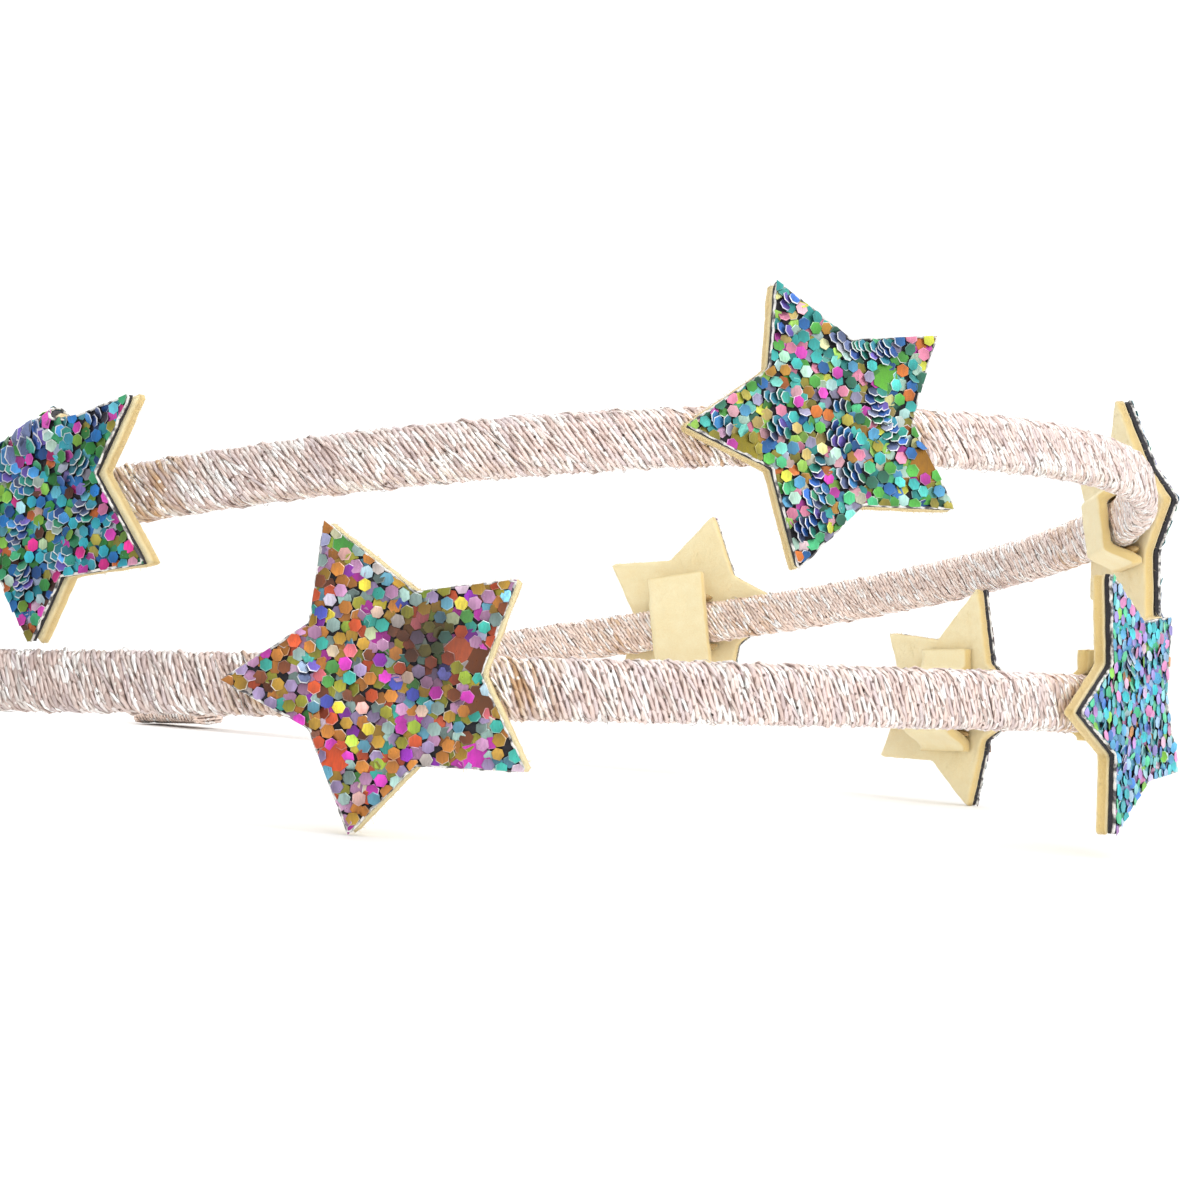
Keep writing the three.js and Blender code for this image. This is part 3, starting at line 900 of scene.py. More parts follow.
class HEADBAND_OT_bind_ends(bpy.types.Operator):
    """Bind the two bands together at each end with a sleeve of thread"""

    bl_idname = "headband.bind_ends"
    bl_label = "Bind the ends"

    def execute(self, context):
        settings = context.scene.headband_thread
        finishes = [bpy.data.materials["metallised_thread"], bpy.data.materials["polyester_braid"]]
        for end, side in (("near", 1), ("far", -1)):
            chance = np.random.default_rng(31 + side)
            places, outwards = band_frame([side * HALF_LENGTH])
            out = Vector(outwards[0])
            up = Vector((0, 0, 1))
            inward = up.cross(out) * side
            seat = Matrix((out, up, inward)).transposed().to_4x4()
            seat.translation = Vector(places[0])
            to_seat = (LIE @ seat).inverted()
            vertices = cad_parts[f"{end}_end_binding"].data.vertices
            flat = [(to_seat @ (vertex.co / MM)).to_2d() for vertex in vertices]
            outline = np.array([flat[corner] for corner in geometry.convex_hull_2d(flat)])
            shape = Shape()
            self.add_sleeve(shape, chance, settings, outline, side * HALF_LENGTH)
            piece = shape.build(f"{end}_end_thread_binding", seat, finishes)
            settle(piece, "thread", f"{end}_end_binding")
        return {"FINISHED"}

    def add_sleeve(self, shape, chance, settings, outline, leg):
        """Adds a filled sleeve, the thread coiled on it and the threads laid over its ends."""
        width = BINDING_THREAD
        ring = evenly(np.concatenate([outline, outline[:1]]), BINDING_POINTS)
        off = unit(ring - outline.mean(0))
        inner = ring - off * width * 0.6
        ends = [np.column_stack([inner, np.full(len(ring), depth)]) for depth in BINDING_ENDS]
        first = np.arange(len(ring))
        second = first + len(ring)
        sides = np.stack([first, np.roll(first, -1), np.roll(second, -1), second], -1)
        if np.cross(ring[1] - ring[0], ring[2] - ring[1]) < 0:
            sides, first, second = sides[:, ::-1], first[::-1], second[::-1]
        points = np.concatenate(ends)
        bare = np.zeros(len(points))
        rose = np.tile(np.array(settings.rose), (len(points), 1))
        shape.add(points, [sides, first[None, ::-1], second[None]], 0, tint=rose, run=bare, across=bare)
        turns = int((BINDING_LENGTH - width) / (width * 0.9))
        steps = np.arange(turns * BINDING_POINTS)
        sway = waves(chance, 1, steps / BINDING_POINTS, lengths=(0.9, 3.7, 6.1), size=0.07)[0]
        depth = width / 2 + steps / BINDING_POINTS * width * 0.9 + sway
        on_ring = steps % BINDING_POINTS
        coil = np.column_stack([ring[on_ring] - off[on_ring] * width * 0.45, depth])
        ups = np.column_stack([off[on_ring], np.zeros(len(steps))])
        tints = thread_tints(chance, settings, steps / 8, 1, leg)
        add_threads(shape, coil[None], ups[None], width, width * 0.8, tints, steps[None] * 2.6, 5)
        for level, way in zip(BINDING_ENDS, (-1.0, 1.0)):
            self.add_end_threads(shape, chance, settings, ring, leg, level, way)

    def add_end_threads(self, shape, chance, settings, ring, leg, level, way):
        """Adds threads laid side by side across one end of the sleeve, bowed out of it."""
        width = BINDING_THREAD
        low, high = ring.min(0), ring.max(0)
        rows = np.arange(low[1] + width * 0.7, high[1] - width * 0.5, width * 0.85)
        share = np.linspace(0, 1, 9)
        paths = []
        for row in rows:
            edge = [point[0] for point in ring if abs(point[1] - row) < 0.6]
            left, right = min(edge) + 0.2, max(edge) - 0.2
            bow = way * (0.02 + 0.16 * np.sin(np.pi * share))
            sway = row + 0.12 * np.sin(share * 5 + row * 3)
            paths.append(np.column_stack([left + (right - left) * share, sway, level + bow]))
        paths = np.array(paths)
        ups = np.broadcast_to(np.array([0.0, 0.0, way]), paths.shape)
        tints = thread_tints(chance, settings, share * 6, len(paths), leg)
        run = share * 30 + np.arange(len(paths))[:, None] * 301.7
        add_threads(shape, paths, ups, width, width * 0.8, tints, run, 5)


def star_corners(name, radius):
    """Corners of a star as it was cut, tips and notches by turns, from the left tip over the top."""
    steps = np.arange(2 * STAR_POINTS)
    angle = math.pi - steps * math.pi / STAR_POINTS
    reach = np.where(steps % 2, radius * NOTCH_RATIO, radius)[:, None]
    return np.stack([np.cos(angle), np.sin(angle)], -1) * reach + np.array(CUTS[name])


def star_outline(name, radius, spacing, rounding):
    """Outline of a star with rounded tips, in even steps of about this length."""
    corners = star_corners(name, radius)
    rough = []
    for step in range(0, 2 * STAR_POINTS, 2):
        tip, before, after = corners[step], corners[step - 1], corners[step + 1]
        start = tip + unit(before - tip) * rounding
        finish = tip + unit(after - tip) * rounding
        for share in (0, 0.33, 0.67, 1):
            rough.append((1 - share) ** 2 * start + 2 * share * (1 - share) * tip + share ** 2 * finish)
        rough.append(after)
    rough = np.array([*rough, rough[0]])
    return evenly(rough, round(distances(rough)[-1] / spacing))[::-1]


def star_slab(outline, bottom, top, rings, rounding):
    """A star cut from a sheet: two faces of rings that follow the outline, joined by a rounded edge.
    Gives its points, faces and how far each point is towards the cut edge."""
    shares = np.linspace(0, 1, rings + 1)[1:]
    turn = np.linspace(0, math.pi / 2, 4)
    inset = rounding * (1 - np.sin(turn))
    fall = rounding * (1 - np.cos(turn))
    off = unit(np.roll(outline, 1, 0) - np.roll(outline, -1, 0))
    off = np.stack([-off[:, 1], off[:, 0]], -1)
    size = 1 - rounding / STAR_RADIUS
    loops = []
    for share in shares[:-1]:
        loops.append((outline * share * size, 0.0, True))
    for back, down in zip(inset, fall):
        loops.append((outline - off * back, down, True))
    for back, down in zip(inset[::-1], fall[::-1]):
        loops.append((outline - off * back, down, False))
    for share in shares[:-1][::-1]:
        loops.append((outline * share * size, 0.0, False))
    points = [np.array([[0, 0, top]])]
    edges = [np.zeros(1)]
    for flat, down, above in loops:
        height = top - down if above else bottom + down
        points.append(np.column_stack([flat, np.full(len(flat), height)]))
        edges.append(np.full(len(flat), min(1.0, down / rounding)))
    points.append(np.array([[0, 0, bottom]]))
    edges.append(np.zeros(1))
    count = len(outline)
    index = 1 + np.arange(len(loops) * count).reshape(len(loops), count)
    first, last = index[0], index[-1]
    last_point = 1 + len(loops) * count
    top_fan = np.stack([np.zeros(count, int), first, np.roll(first, -1)], -1)
    bottom_fan = np.stack([np.full(count, last_point), np.roll(last, -1), last], -1)
    return np.concatenate(points), [loop_quads(index), top_fan, bottom_fan], np.concatenate(edges)


def uneven(points, size, feature, seed):
    """Points moved by smooth noise of this size, with features this many millimetres across."""
    noise.seed_set(seed)
    shift = Vector((seed * 3.7, seed * 1.9, seed * 5.3))
    sway = [noise.noise_vector(Vector(point) / feature + shift) for point in points]
    return points + np.array(sway) * size


# The bend in the upper point of one star: how far from the star's middle it starts, its radius, how far it
# turns and which way the point lies
FOLD_START = 4.2
FOLD_RADIUS = 1.1
FOLD_ANGLE = math.radians(128)
FOLD_FACING = math.radians(108)


def folded(name, points):
    """Points of a star's layers after its upper point was bent back. Only one star has such a bend."""
    if name != "upper_star_1":
        return points
    facing = np.array([math.cos(FOLD_FACING), math.sin(FOLD_FACING)])
    reach = points[:, :2] @ facing - FOLD_START
    bent = reach > 0
    arc = FOLD_ANGLE * FOLD_RADIUS
    angle = np.clip(reach / FOLD_RADIUS, 0, FOLD_ANGLE)
    beyond = np.maximum(reach - arc, 0)
    depth = points[:, 2] + FOLD_RADIUS
    ahead = depth * np.sin(angle) + beyond * np.cos(angle)
    height = depth * np.cos(angle) - FOLD_RADIUS - beyond * np.sin(angle)
    result = points.copy()
    result[bent, :2] += ((ahead - reach)[:, None] * facing)[bent]
    result[bent, 2] = height[bent]
    return result


# A loose fibre of the felt: its width, how that tapers from point to point, and the sides of its section
FIBRE_WIDTH = 0.026
FIBRE_TAPER = np.array([1.0, 0.9, 0.7, 0.3])
FIBRE_SIDES = 3


def fibres_from(chance, roots, directions, length, tangle):
    """Paths of short bent fibres from roots, and the directions across them."""
    count = len(roots)
    share = np.linspace(0, 1, len(FIBRE_TAPER))[None, :, None]
    reach = length * (0.35 + 0.9 * chance.random((count, 1, 1)))
    first = unit(directions + tangle * (chance.random((count, 3)) - 0.5))
    bend = (chance.random((count, 1, 3)) - 0.5) * 1.3
    paths = roots[:, None] + first[:, None] * reach * share + bend * reach * share ** 2
    ups = np.broadcast_to(unit(np.cross(first, chance.random((count, 3)) - 0.5))[:, None], paths.shape)
    return paths, ups


class HEADBAND_OT_cut_felt(bpy.types.Operator):
    """Cut the felt stars, with the loose fibres along their edges"""

    bl_idname = "headband.cut_felt"
    bl_label = "Cut the felt stars"

    def execute(self, context):
        settings = context.scene.headband_felt
        finish = [wool_felt(settings)]
        for name, star in STARS.items():
            chance = np.random.default_rng(star.seed)
            outline = star_outline(name, STAR_RADIUS + FELT_OVERHANG, spacing=0.5, rounding=FELT_TIP_ROUNDING)
            points, faces, edge = star_slab(outline, 0, FELT_THICKNESS, rings=14, rounding=0.24)
            points = uneven(points, size=0.07, feature=0.9, seed=star.seed)
            points[:, 2] = np.clip(points[:, 2], -0.05, FELT_THICKNESS + 0.03)
            points[:, 0] += star.slip
            shape = Shape()
            # painted shade on the upper half of the cut edge, next to the glitter cloth
            glued = edge * (points[:, 2] > FELT_THICKNESS / 2)
            shape.add(folded(name, points), faces, 0, edge=edge, glued=glued)
            felt = shape.build(f"{name}_felt_cut", star_layers(star), finish)
            settle(felt, "felt", f"{name}_felt")
            fuzz = self.loose_fibres(name, star, chance, settings, outline).build(
                f"{name}_felt_fibres", star_layers(star), finish
            )
            settle(fuzz, "felt")
        return {"FINISHED"}

    def loose_fibres(self, name, star, chance, settings, outline):
        """Fibres that stand off the cut edge, and fewer that lie over the back."""
        count = settings.fibre_count
        pick = chance.integers(0, len(outline), count)
        slide = chance.random((count, 1))
        rim = outline[pick] * (1 - slide) + outline[(pick + 1) % len(outline)] * slide
        way = outline[(pick + 1) % len(outline)] - outline[pick]
        off = unit(np.column_stack([way[:, 1], -way[:, 0]]))
        roots = np.column_stack([rim - off * 0.1, FELT_THICKNESS * (0.1 + 0.75 * chance.random(count))])
        directions = np.column_stack([off, 0.3 * (chance.random(count) - 0.6)])
        edge_paths, edge_ups = fibres_from(chance, roots, directions, settings.fibre_length / MM * 0.6, 1.6)
        inner = count // 2
        pick = chance.integers(0, len(outline), inner)
        reach = np.sqrt(chance.random((inner, 1))) * 0.97
        roots = np.column_stack([outline[pick] * reach, np.full(inner, 0.02)])
        angle = chance.random(inner) * FULL_TURN
        directions = np.column_stack([np.cos(angle), np.sin(angle), np.full(inner, -0.16)])
        back_paths, back_ups = fibres_from(chance, roots, directions, settings.fibre_length / MM, 0.2)
        back_paths[..., 2] = np.minimum(back_paths[..., 2], 0.0)
        back_paths[..., 2] = np.maximum(back_paths[..., 2], -0.2)
        paths = np.concatenate([edge_paths, back_paths])
        ups = np.concatenate([edge_ups, back_ups])
        paths[..., 0] += star.slip
        paths = folded(name, paths.reshape(-1, 3)).reshape(paths.shape)
        points, faces = strands(paths, ups, FIBRE_WIDTH * FIBRE_TAPER, FIBRE_WIDTH * FIBRE_TAPER, FIBRE_SIDES)
        shape = Shape()
        per_fibre = len(FIBRE_TAPER) * FIBRE_SIDES
        marks = np.concatenate([np.full(count * per_fibre, 0.5), np.zeros(inner * per_fibre)])
        shape.add(points, faces, 0, edge=marks)
        return shape


def strip_seat(name):
    """Frame of a star's felt strip: its middle at the back of the felt star, facing outward."""
    star = STARS[name]
    return star_seat(star) @ Matrix.Translation((STRIPS[name].slide, 0, felt_back(star)))


def strip_stand_off(name, across, heights, bulge=0.0):
    """How far a strip stands off its felt star: over the curved band, then down to the felt on both sides of
    it. A bulge moves its bends out."""
    star, strip = STARS[name], STRIPS[name]
    aside = across + strip.slide
    bend = aside * math.sin(math.radians(star.turn)) + aside ** 2 / (2 * CROWN_RADIUS)
    rise = felt_back(star) + HALF_THICKNESS + 0.2 + bend
    share = np.clip((np.abs(heights) - strip.crest - bulge) / (strip.down - strip.crest), 0, 1)
    return rise + (strip.foot - rise) * share ** 2 * (3 - 2 * share)


# How far the cut edges of a strip are rounded
STRIP_ROUNDING = 0.16


class HEADBAND_OT_lay_strips(bpy.types.Operator):
    """Lay the felt strips that cross the inside of the band behind each star"""

    bl_idname = "headband.lay_strips"
    bl_label = "Lay the felt strips"

    def execute(self, context):
        settings = context.scene.headband_felt
        finish = [bpy.data.materials["wool_felt"]]
        for name, star in STARS.items():
            chance = np.random.default_rng(star.seed + 100)
            shape = Shape()
            points, faces, edge = self.strip(name)
            points = uneven(points, size=0.08, feature=0.9, seed=star.seed + 50)
            shape.add(points, faces, 0, edge=edge)
            self.add_fibres(shape, chance, settings, name)
            piece = shape.build(f"{name}_felt_strip", strip_seat(name), finish)
            settle(piece, "felt", f"{name}_patch")
        return {"FINISHED"}

    def strip(self, name):
        """The strip as a closed mesh with its edges rounded a little, and its share of cut edge."""
        heights = np.linspace(STRIPS[name].low, STRIPS[name].high, 45)
        half = STRIPS[name].width / 2
        stations = [(-half, STRIP_ROUNDING), (-half + STRIP_ROUNDING, 0.0)]
        stations += [(across, 0.0) for across in np.linspace(-half + 0.7, half - 0.7, 8)]
        stations += [(half - STRIP_ROUNDING, 0.0), (half, STRIP_ROUNDING)]
        count = len(heights)
        points, edge = [], []
        for across, thin in stations:
            near = strip_stand_off(name, across, heights)
            inside = strip_stand_off(name, across, heights, STRIPS[name].bulge) + FELT_THICKNESS
            tall = np.clip(heights, heights[0] + thin, heights[-1] - thin)
            loop = np.concatenate([
                np.column_stack([np.full(count, across), tall, -near - thin]),
                np.column_stack([np.full(count, across), tall, -inside + thin])[::-1],
            ])
            points.append(loop)
            at_end = (heights < heights[0] + 0.1) | (heights > heights[-1] - 0.1)
            ends = np.concatenate([at_end, at_end[::-1]]) * 0.8
            edge.append(np.maximum(ends, float(thin > 0)))
        loops, round_it = len(stations), 2 * count
        index = np.arange(loops * round_it).reshape(loops, round_it)
        caps = []
        for loop, flip in ((index[0], 1), (index[-1], -1)):
            outer, inner = loop[:count], loop[count:][::-1]
            caps.append(np.stack([outer[:-1], outer[1:], inner[1:], inner[:-1]], -1)[:, ::flip])
        return np.concatenate(points), [loop_quads(index), *caps], np.concatenate(edge)

    def add_fibres(self, shape, chance, settings, name):
        """Adds loose fibres along the strip's two long edges and its ends."""
        strip = STRIPS[name]
        count = settings.fibre_count // 3
        tall = strip.low + (strip.high - strip.low) * chance.random(count)
        side = np.where(chance.random(count) < 0.5, -1.0, 1.0)
        across = side * (strip.width / 2 - 0.08)
        depth = strip_stand_off(name, across, tall) + FELT_THICKNESS * chance.random(count)
        roots = np.column_stack([across, tall, -depth])
        directions = np.column_stack([side, np.zeros(count), np.zeros(count)])
        paths, ups = fibres_from(chance, roots, directions, settings.fibre_length / MM * 0.5, 1.6)
        points, faces = strands(paths, ups, FIBRE_WIDTH * FIBRE_TAPER, FIBRE_WIDTH * FIBRE_TAPER, FIBRE_SIDES)
        shape.add(points, faces, 0, edge=np.full(len(points), 0.4))


class HEADBAND_OT_add_glue(bpy.types.Operator):
    """Add the beads of hot melt glue in the hollows between each felt strip, its star and the band"""

    bl_idname = "headband.add_glue"
    bl_label = "Add the glue"

    def execute(self, context):
        finish = [hot_melt_glue()]
        around, stacked = 20, 11
        for name, star in STARS.items():
            shape = Shape()
            for side in (-1, 1):
                height = side * (HALF_HEIGHT + 0.5)
                deep = strip_stand_off(name, 0.0, height) + 0.1
                turn = np.arange(around) * FULL_TURN / around
                tilt = np.linspace(0.12, math.pi - 0.12, stacked)[:, None]
                wide = np.sin(tilt) ** 0.5
                level = np.broadcast_to(-deep * (0.5 - 0.5 * np.cos(tilt)), (stacked, around))
                bead = np.stack([
                    (STRIPS[name].width / 2 + 0.1) * wide * np.cos(turn),
                    height + 0.6 * wide * np.sin(turn),
                    level,
                ], -1).reshape(-1, 3)
                bead = uneven(bead, size=0.35, feature=1.7, seed=star.seed + side)
                index = np.arange(stacked * around).reshape(stacked, around)
                shape.add(bead, [loop_quads(index), index[:1], index[-1:, ::-1]])
            piece = shape.build(f"{name}_glue", strip_seat(name), finish)
            settle(piece, "felt")
        return {"FINISHED"}


# A star's edges. Edge k runs from corner k to the next: its outward direction, and how far out it lies.
# notches: the turns from the left at which the notches lie.
Edges = namedtuple("Edges", "outward reach notches")


def star_edges(name):
    """The edges of a star's glitter cloth."""
    corners = star_corners(name, STAR_RADIUS)
    way = unit(np.roll(corners, -1, 0) - corners)
    outward = np.stack([-way[:, 1], way[:, 0]], -1)
    notches = np.mod(math.pi - np.arctan2(corners[1::2, 1], corners[1::2, 0]), FULL_TURN)
    return Edges(outward, np.sum(outward * corners, 1), notches)


def beside_tip(edges, x, y):
    """The two edges at the tip whose wedge of the star holds a point."""
    turned = (math.pi - math.atan2(y, x)) % FULL_TURN
    tip = 2 * (int(np.searchsorted(edges.notches, turned)) % STAR_POINTS)
    return [tip - 1, tip]


def inside_star(edges, x, y):
    """How far a point is inside the outline of the glitter cloth."""
    beside = beside_tip(edges, x, y)
    return float(np.min(edges.reach[beside] - edges.outward[beside] @ np.array([x, y])))


def cut_by(polygon, normal, limit):
    """The part of a flat convex polygon on the near side of a line."""
    kept = []
    heights = polygon @ normal - limit
    for corner in range(len(polygon)):
        here, there = polygon[corner - 1], polygon[corner]
        low, high = heights[corner - 1], heights[corner]
        if (low < 0) != (high < 0):
            kept.append(here + (there - here) * low / (low - high))
        if high < 0:
            kept.append(there)
    return np.array(kept)


def painted_shade_share(name, x, y):
    """How far into its star's patch of painted shade a point lies, from 0 to 1."""
    if name not in PAINTED_SHADE_PATCHES:
        return 0.0
    across, up, reach = PAINTED_SHADE_PATCHES[name]
    return 1 - min(1.0, math.hypot(x - across, y - up) / reach) ** 2


# tilt and facing: how far and which way a flake leans. depth: its height over the cloth. rim: how pale its
# edge is. border: how wide that pale edge is.
Flake = namedtuple("Flake", "x y width colour tilt facing depth rim border")

# How many places are tried for a layer of flakes, and how far from the star's middle
SCATTER_TRIES = 8000
SCATTER_REACH = 12


class HEADBAND_OT_make_glitter(bpy.types.Operator):
    """Make the glitter cloth of each star: black cloth under overlapping hexagonal flakes"""

    bl_idname = "headband.make_glitter"
    bl_label = "Make the glitter cloth"

    def execute(self, context):
        settings = context.scene.headband_glitter
        cloth_finish = [woven_backing(settings.cloth), acrylic_binder()]
        flake_finish = [glitter_film()]
        top = CLOTH_BOTTOM + CLOTH_THICKNESS
        for name, star in STARS.items():
            outline = star_outline(name, STAR_RADIUS, spacing=0.6, rounding=CLOTH_TIP_ROUNDING)
            edges = star_edges(name)
            shape = Shape()
            points, faces, _ = star_slab(outline, CLOTH_BOTTOM, top, rings=12, rounding=0.08)
            points = uneven(points, size=0.03, feature=1.3, seed=star.seed + 20)
            shape.add(folded(name, points), faces)
            self.add_binder(shape, name, star, top)
            cloth = shape.build(f"{name}_backing_cloth", star_layers(star), cloth_finish)
            settle(cloth, "glitter")
            shape = Shape()
            for flake in self.scatter(name, star, settings, edges):
                self.add_flake(shape, name, flake, settings, top, edges)
            flakes = shape.build(f"{name}_flakes", star_layers(star), flake_finish, smooth=False)
            settle(flakes, "glitter", f"{name}_sheet")
        return {"FINISHED"}

    def add_binder(self, shape, name, star, top):
        """Adds the ragged edge of the binder that holds the flakes, where the cloth was cut."""
        outline = star_outline(name, STAR_RADIUS - 0.1, spacing=0.3, rounding=CLOTH_TIP_ROUNDING)
        path = np.column_stack([outline, np.full(len(outline), top + 0.1)])
        path = uneven(path, size=0.1, feature=0.5, seed=star.seed + 70)
        path = folded(name, np.concatenate([path, path[:1]]))
        upward = np.broadcast_to(UPWARD, (1, len(path), 3))
        points, faces = strands(path[None], upward, width=0.2, height=0.3, sides=5)
        shape.add(points, faces, 1)

    def scatter(self, name, star, settings, edges):
        """The flakes of one star: a few large ones, patches that lean like scales, then whole flakes side by
        side and last those that lie under them in the gaps."""
        chance = random.Random(star.seed)
        width = settings.flake_width / MM
        hues = [hue for hue, parts in HUES[star.hues] for _ in range(parts)]
        flakes, taken = [], []
        for x, y, large, hue in LARGE_FLAKES.get(name, []):
            flakes.append(Flake(
                x, y, large, linear(hue), tilt=0.03, facing=chance.random() * 6, depth=0.18, rim=0.3,
                border=0.05,
            ))
            taken.append((x, y, large * 0.34))
        for patch in SCALES.get(name, []):
            self.add_scales(flakes, taken, chance, width, edges, *patch)
        for _ in range(star.runs):
            self.add_scales(
                flakes, taken, chance, width, edges, chance.uniform(-9, 9), chance.uniform(-9, 9),
                chance.uniform(0, 360), chance.randint(3, 5), chance.randint(1, 2),
            )
        # each layer: spacing, lowest and highest depth, and light; the lower layer, in the gaps, is painted
        # darker as painted shade
        layers = ((width * 0.84, 0.2, 0.34, 1.0), (settings.spacing / MM, 0.08, 0.18, 0.7))
        for spacing, low, high, light in layers:
            for _ in range(SCATTER_TRIES):
                x = chance.uniform(-SCATTER_REACH, SCATTER_REACH)
                y = chance.uniform(-SCATTER_REACH, SCATTER_REACH)
                if inside_star(edges, x, y) < 0.05:
                    continue
                if any(math.hypot(x - a, y - b) < max(near, spacing) for a, b, near in taken):
                    continue
                taken.append((x, y, 0.0))
                tilt = abs(chance.gauss(0, 9)) if chance.random() < 0.9 else chance.uniform(18, 34)
                rim = chance.uniform(0.5, 0.8) if chance.random() < 0.12 else chance.uniform(0.0, 0.25)
                rim *= 1 - painted_shade_share(name, x, y)
                flakes.append(Flake(
                    x, y, width * chance.uniform(0.92, 1.06), self.film(chance, hues, light, name, x, y),
                    math.radians(tilt), chance.random() * FULL_TURN, chance.uniform(low, high), rim,
                    border=0.06,
                ))
        return flakes

    def add_scales(self, flakes, taken, chance, width, edges, x, y, facing, rows, columns):
        """Adds a patch of flakes that lean on each other like scales, with their pale edges showing."""
        facing = math.radians(facing)
        tilt = chance.uniform(20, 32)
        for row in range(rows):
            for column in range(columns):
                ahead = (row - rows / 2) * 0.5 + chance.uniform(-0.08, 0.08)
                aside = (column - columns / 2 - row % 2 * 0.4) * 0.75 + chance.uniform(-0.15, 0.15)
                across = x + math.cos(facing) * ahead - math.sin(facing) * aside
                up = y + math.sin(facing) * ahead + math.cos(facing) * aside
                crowded = any(math.hypot(across - a, up - b) < near for a, b, near in taken if near > 0.6)
                if crowded or inside_star(edges, across, up) < 0.35:
                    continue
                flakes.append(Flake(
                    across, up, width, self.film(chance, SHINGLE_HUES, 1.0, None, across, up),
                    math.radians(tilt + chance.uniform(-9, 9)), facing + chance.uniform(-0.3, 0.3),
                    depth=0.3, rim=chance.uniform(0.6, 1.0), border=0.09,
                ))
                taken.append((across, up, 0.3))

    def film(self, chance, hues, light, name, x, y):
        """One flake's colour: a hue of the star, lighter or darker at random and darker as painted shade in
        the lower layer, a few pale where they face the light, and brown as painted shade in a star's dark
        patch."""
        light *= chance.uniform(0.7, 1.25)
        glint = 0.4 if chance.random() < 0.07 else 0.0
        # painted shade: flakes in the patch turn dark brown
        shade = 0.9 * painted_shade_share(name, x, y)
        colour = [min(1.0, value * light + 0.01) for value in linear(chance.choice(hues))]
        lit = [value + (0.9 - value) * glint for value in colour]
        return [value + (dark - value) * shade for value, dark in zip(lit, linear(PAINTED_SHADE_BROWN))]

    def add_flake(self, shape, name, flake, settings, top, edges):
        """Adds one flake, cut where the star's edge crosses it: a thin prism with a bevelled rim, pale on the
        side that stands up. Its top face has painted light and shade across it, and its sides and underside
        painted shade."""
        turns = flake.facing + np.arange(6) * FULL_TURN / 6
        polygon = np.stack([np.cos(turns), np.sin(turns)], -1) * flake.width / 2
        for edge in beside_tip(edges, flake.x, flake.y):
            outward = edges.outward[edge]
            polygon = cut_by(polygon, outward, edges.reach[edge] - outward @ np.array([flake.x, flake.y]))
            if len(polygon) < 3:
                return
        middle = polygon.mean(0)
        reach = np.linalg.norm(polygon - middle, axis=1).min()
        if reach < 0.08:
            return
        lean = np.array([math.cos(flake.facing), math.sin(flake.facing)])
        raised = np.clip(0.35 + 0.8 * unit(polygon - middle) @ lean, 0, 1)[:, None]
        border = min(flake.border, 0.5 * reach) / reach
        inset = middle + (polygon - middle) * (1 - border * (0.3 + 0.7 * raised))
        thick = settings.flake_thickness / MM
        count = len(polygon)
        points = np.concatenate([
            np.column_stack([inset, np.full(count, thick)]),
            np.column_stack([inset, np.full(count, thick * 0.99)]),
            np.column_stack([polygon, np.full(count, thick * 0.55)]),
            np.column_stack([polygon, np.zeros(count)]),
        ])
        along = points[:, :2] @ lean
        rise = along * math.sin(flake.tilt) + points[:, 2] * math.cos(flake.tilt)
        run = along * math.cos(flake.tilt) - points[:, 2] * math.sin(flake.tilt)
        points[:, :2] += (run - along)[:, None] * lean + (flake.x, flake.y)
        sunk = min(0.0, flake.depth - flake.width * 0.3 * math.sin(flake.tilt))
        points[:, 2] = top + flake.depth + rise - sunk
        index = np.arange(4 * count).reshape(4, count)
        face = np.array(flake.colour)
        rim = face * (1 - flake.rim * raised) + np.array(settings.rim) * flake.rim * raised
        # painted light and shade: the top face is lighter towards some corners and darker towards others
        painted_shading = 1 + 0.22 * np.cos(np.arange(count) * FULL_TURN / count + flake.x * 40)[:, None]
        # painted shade: the flake's sides and underside are half as bright as its face
        tints = np.concatenate([face * painted_shading, rim, rim, np.tile(face * 0.5, (count, 1))])
        faces = [index[:1], index[3:, ::-1], loop_quads(index)]
        shape.add(folded(name, points), faces, tint=tints)


def studio_walls(strength, ceiling):
    """White light from all round, brighter from above and dimmer from the left, with dark gaps between the
    panels on the near side that film and thread mirror."""
    world = bpy.data.worlds.new("soft_studio")
    world.use_nodes = True
    tree = world.node_tree
    facing = add_node(tree, "TexCoord").outputs["Generated"]
    left = add_node(tree, "VectorMath", {0: facing, 1: (-0.75, -0.65, 0)}, operation="DOT_PRODUCT")
    dimmed = add_node(tree, "MapRange", {
        "Value": left, "From Min": 0.0, "From Max": 0.9, "To Min": strength, "To Max": strength * 0.6,
    })
    near = add_node(tree, "VectorMath", {0: facing, 1: (0.51, -0.86, 0)}, operation="DOT_PRODUCT")
    near_side = add_node(tree, "MapRange", {"Value": near, "From Min": 0.1, "From Max": 0.4})
    panels = add_node(tree, "TexNoise", {"Vector": facing, "Scale": 3.0, "Detail": 0.0})
    gaps = add_node(
        tree, "MapRange", {"Value": panels, "From Min": 0.52, "From Max": 0.44, "To Min": 0.1, "To Max": 0.6}
    )
    dark = add_node(tree, "Math", {0: near_side, 1: gaps}, operation="MULTIPLY")
    lit = add_node(tree, "Math", {0: 1.0, 1: dark}, operation="SUBTRACT")
    shone = add_node(tree, "Math", {0: dimmed, 1: lit}, operation="MULTIPLY")
    height = add_node(tree, "SeparateXYZ", {"Vector": facing}).outputs["Z"]
    above = add_node(tree, "MapRange", {
        "Value": height, "From Min": 0.3, "From Max": 0.6, "To Min": 1.0, "To Max": ceiling,
    })
    raised = add_node(tree, "Math", {0: shone, 1: above}, operation="MULTIPLY")
    set_inputs(tree, tree.nodes["Background"], {"Color": (1, 1, 1, 1), "Strength": raised})
    return world


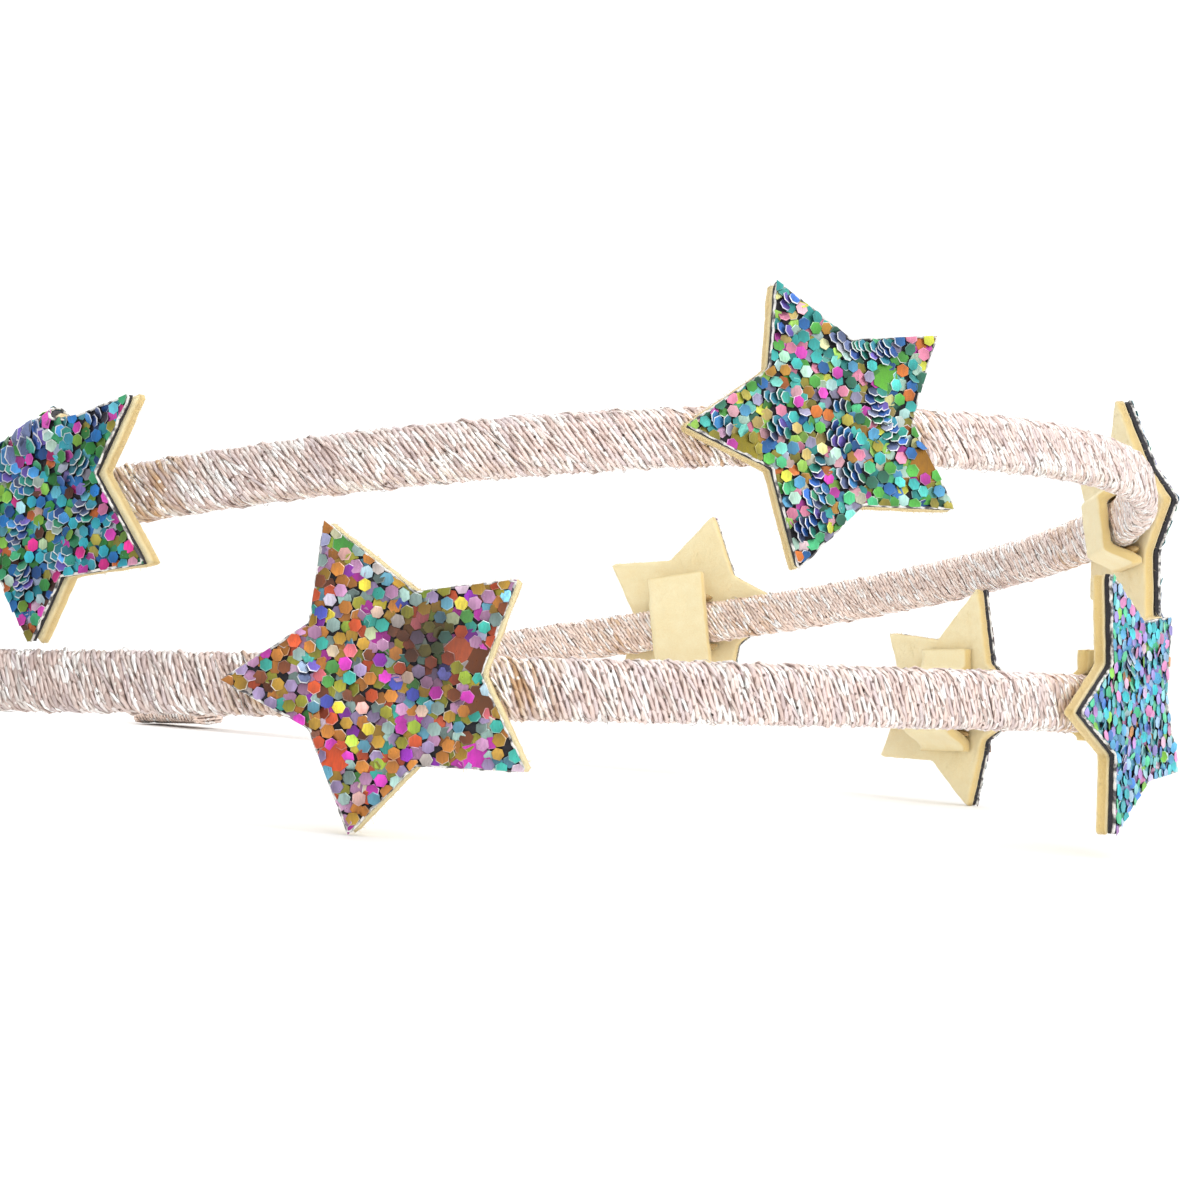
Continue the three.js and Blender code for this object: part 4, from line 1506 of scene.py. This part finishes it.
class HEADBAND_OT_set_stage(bpy.types.Operator):
    """Set the paper floor, the soft studio light and the camera"""

    bl_idname = "headband.set_stage"
    bl_label = "Set the stage"

    def execute(self, context):
        settings = context.scene.headband_stage
        scene = context.scene
        mesh = bpy.data.meshes.new("paper_floor")
        reach, drop = 9.0, -0.03 * MM
        mesh.from_pydata(
            [(-reach, -reach, drop), (reach, -reach, drop), (reach, reach, drop), (-reach, reach, drop)],
            [], [(0, 1, 2, 3)],
        )
        mesh.materials.append(paper_floor(settings.floor))
        floor = bpy.data.objects.new("paper_floor", mesh)
        scene.collection.objects.link(floor)
        scene.world = studio_walls(settings.sky, settings.ceiling)
        for name, place, width, power in (
            ("key", (0.5, -0.55, 0.55), 0.4, settings.key),
            ("fill", (0.75, 0.1, 0.5), 0.5, settings.key / 2),
        ):
            lamp = bpy.data.lights.new(f"{name}_light", "AREA")
            lamp.size = width
            lamp.energy = power
            light = bpy.data.objects.new(f"{name}_light", lamp)
            light.location = place
            light.rotation_euler = (-Vector(place)).to_track_quat("-Z", "Y").to_euler()
            scene.collection.objects.link(light)
        view = bpy.data.cameras.new("camera")
        view.angle = CAMERA_FIELD
        view.clip_start = 0.01
        view.clip_end = 100
        camera = bpy.data.objects.new("camera", view)
        right, up = Vector(CAMERA_RIGHT), Vector(CAMERA_UP)
        facing = Matrix((right, up, right.cross(up))).transposed().to_4x4()
        facing.translation = Vector(CAMERA_PLACE)
        seen_from = LIE @ facing
        seen_from.translation *= MM
        camera.matrix_world = seen_from
        scene.collection.objects.link(camera)
        scene.camera = camera
        scene.view_settings.view_transform = "Standard"
        return {"FINISHED"}


class HEADBAND_PT_panel(bpy.types.Panel):
    """Lists the headband's pieces and settings"""

    bl_label = "Star Headband"
    bl_idname = "HEADBAND_PT_panel"
    bl_space_type = "VIEW_3D"
    bl_region_type = "UI"
    bl_category = "Headband"

    def draw(self, context):
        for operator in OPERATORS:
            self.layout.operator(operator.bl_idname)
        for name, group in SETTINGS.items():
            box = self.layout.box()
            for value in group.__annotations__:
                box.prop(getattr(context.scene, name), value)


SETTINGS = {
    "headband_thread": ThreadSettings,
    "headband_felt": FeltSettings,
    "headband_glitter": GlitterSettings,
    "headband_stage": StageSettings,
}
OPERATORS = (
    HEADBAND_OT_wind_bands,
    HEADBAND_OT_bind_ends,
    HEADBAND_OT_cut_felt,
    HEADBAND_OT_lay_strips,
    HEADBAND_OT_add_glue,
    HEADBAND_OT_make_glitter,
    HEADBAND_OT_set_stage,
)
CLASSES = (*SETTINGS.values(), *OPERATORS, HEADBAND_PT_panel)


def register():
    for made in CLASSES:
        bpy.utils.register_class(made)
    for name, group in SETTINGS.items():
        setattr(bpy.types.Scene, name, PointerProperty(type=group))


def unregister():
    for name in SETTINGS:
        delattr(bpy.types.Scene, name)
    for made in reversed(CLASSES):
        bpy.utils.unregister_class(made)


def main():
    """Dresses the headband."""
    register()
    bpy.ops.headband.wind_bands()
    bpy.ops.headband.bind_ends()
    bpy.ops.headband.cut_felt()
    bpy.ops.headband.lay_strips()
    bpy.ops.headband.add_glue()
    bpy.ops.headband.make_glitter()
    bpy.ops.headband.set_stage()


if __name__ == "__main__":
    main()
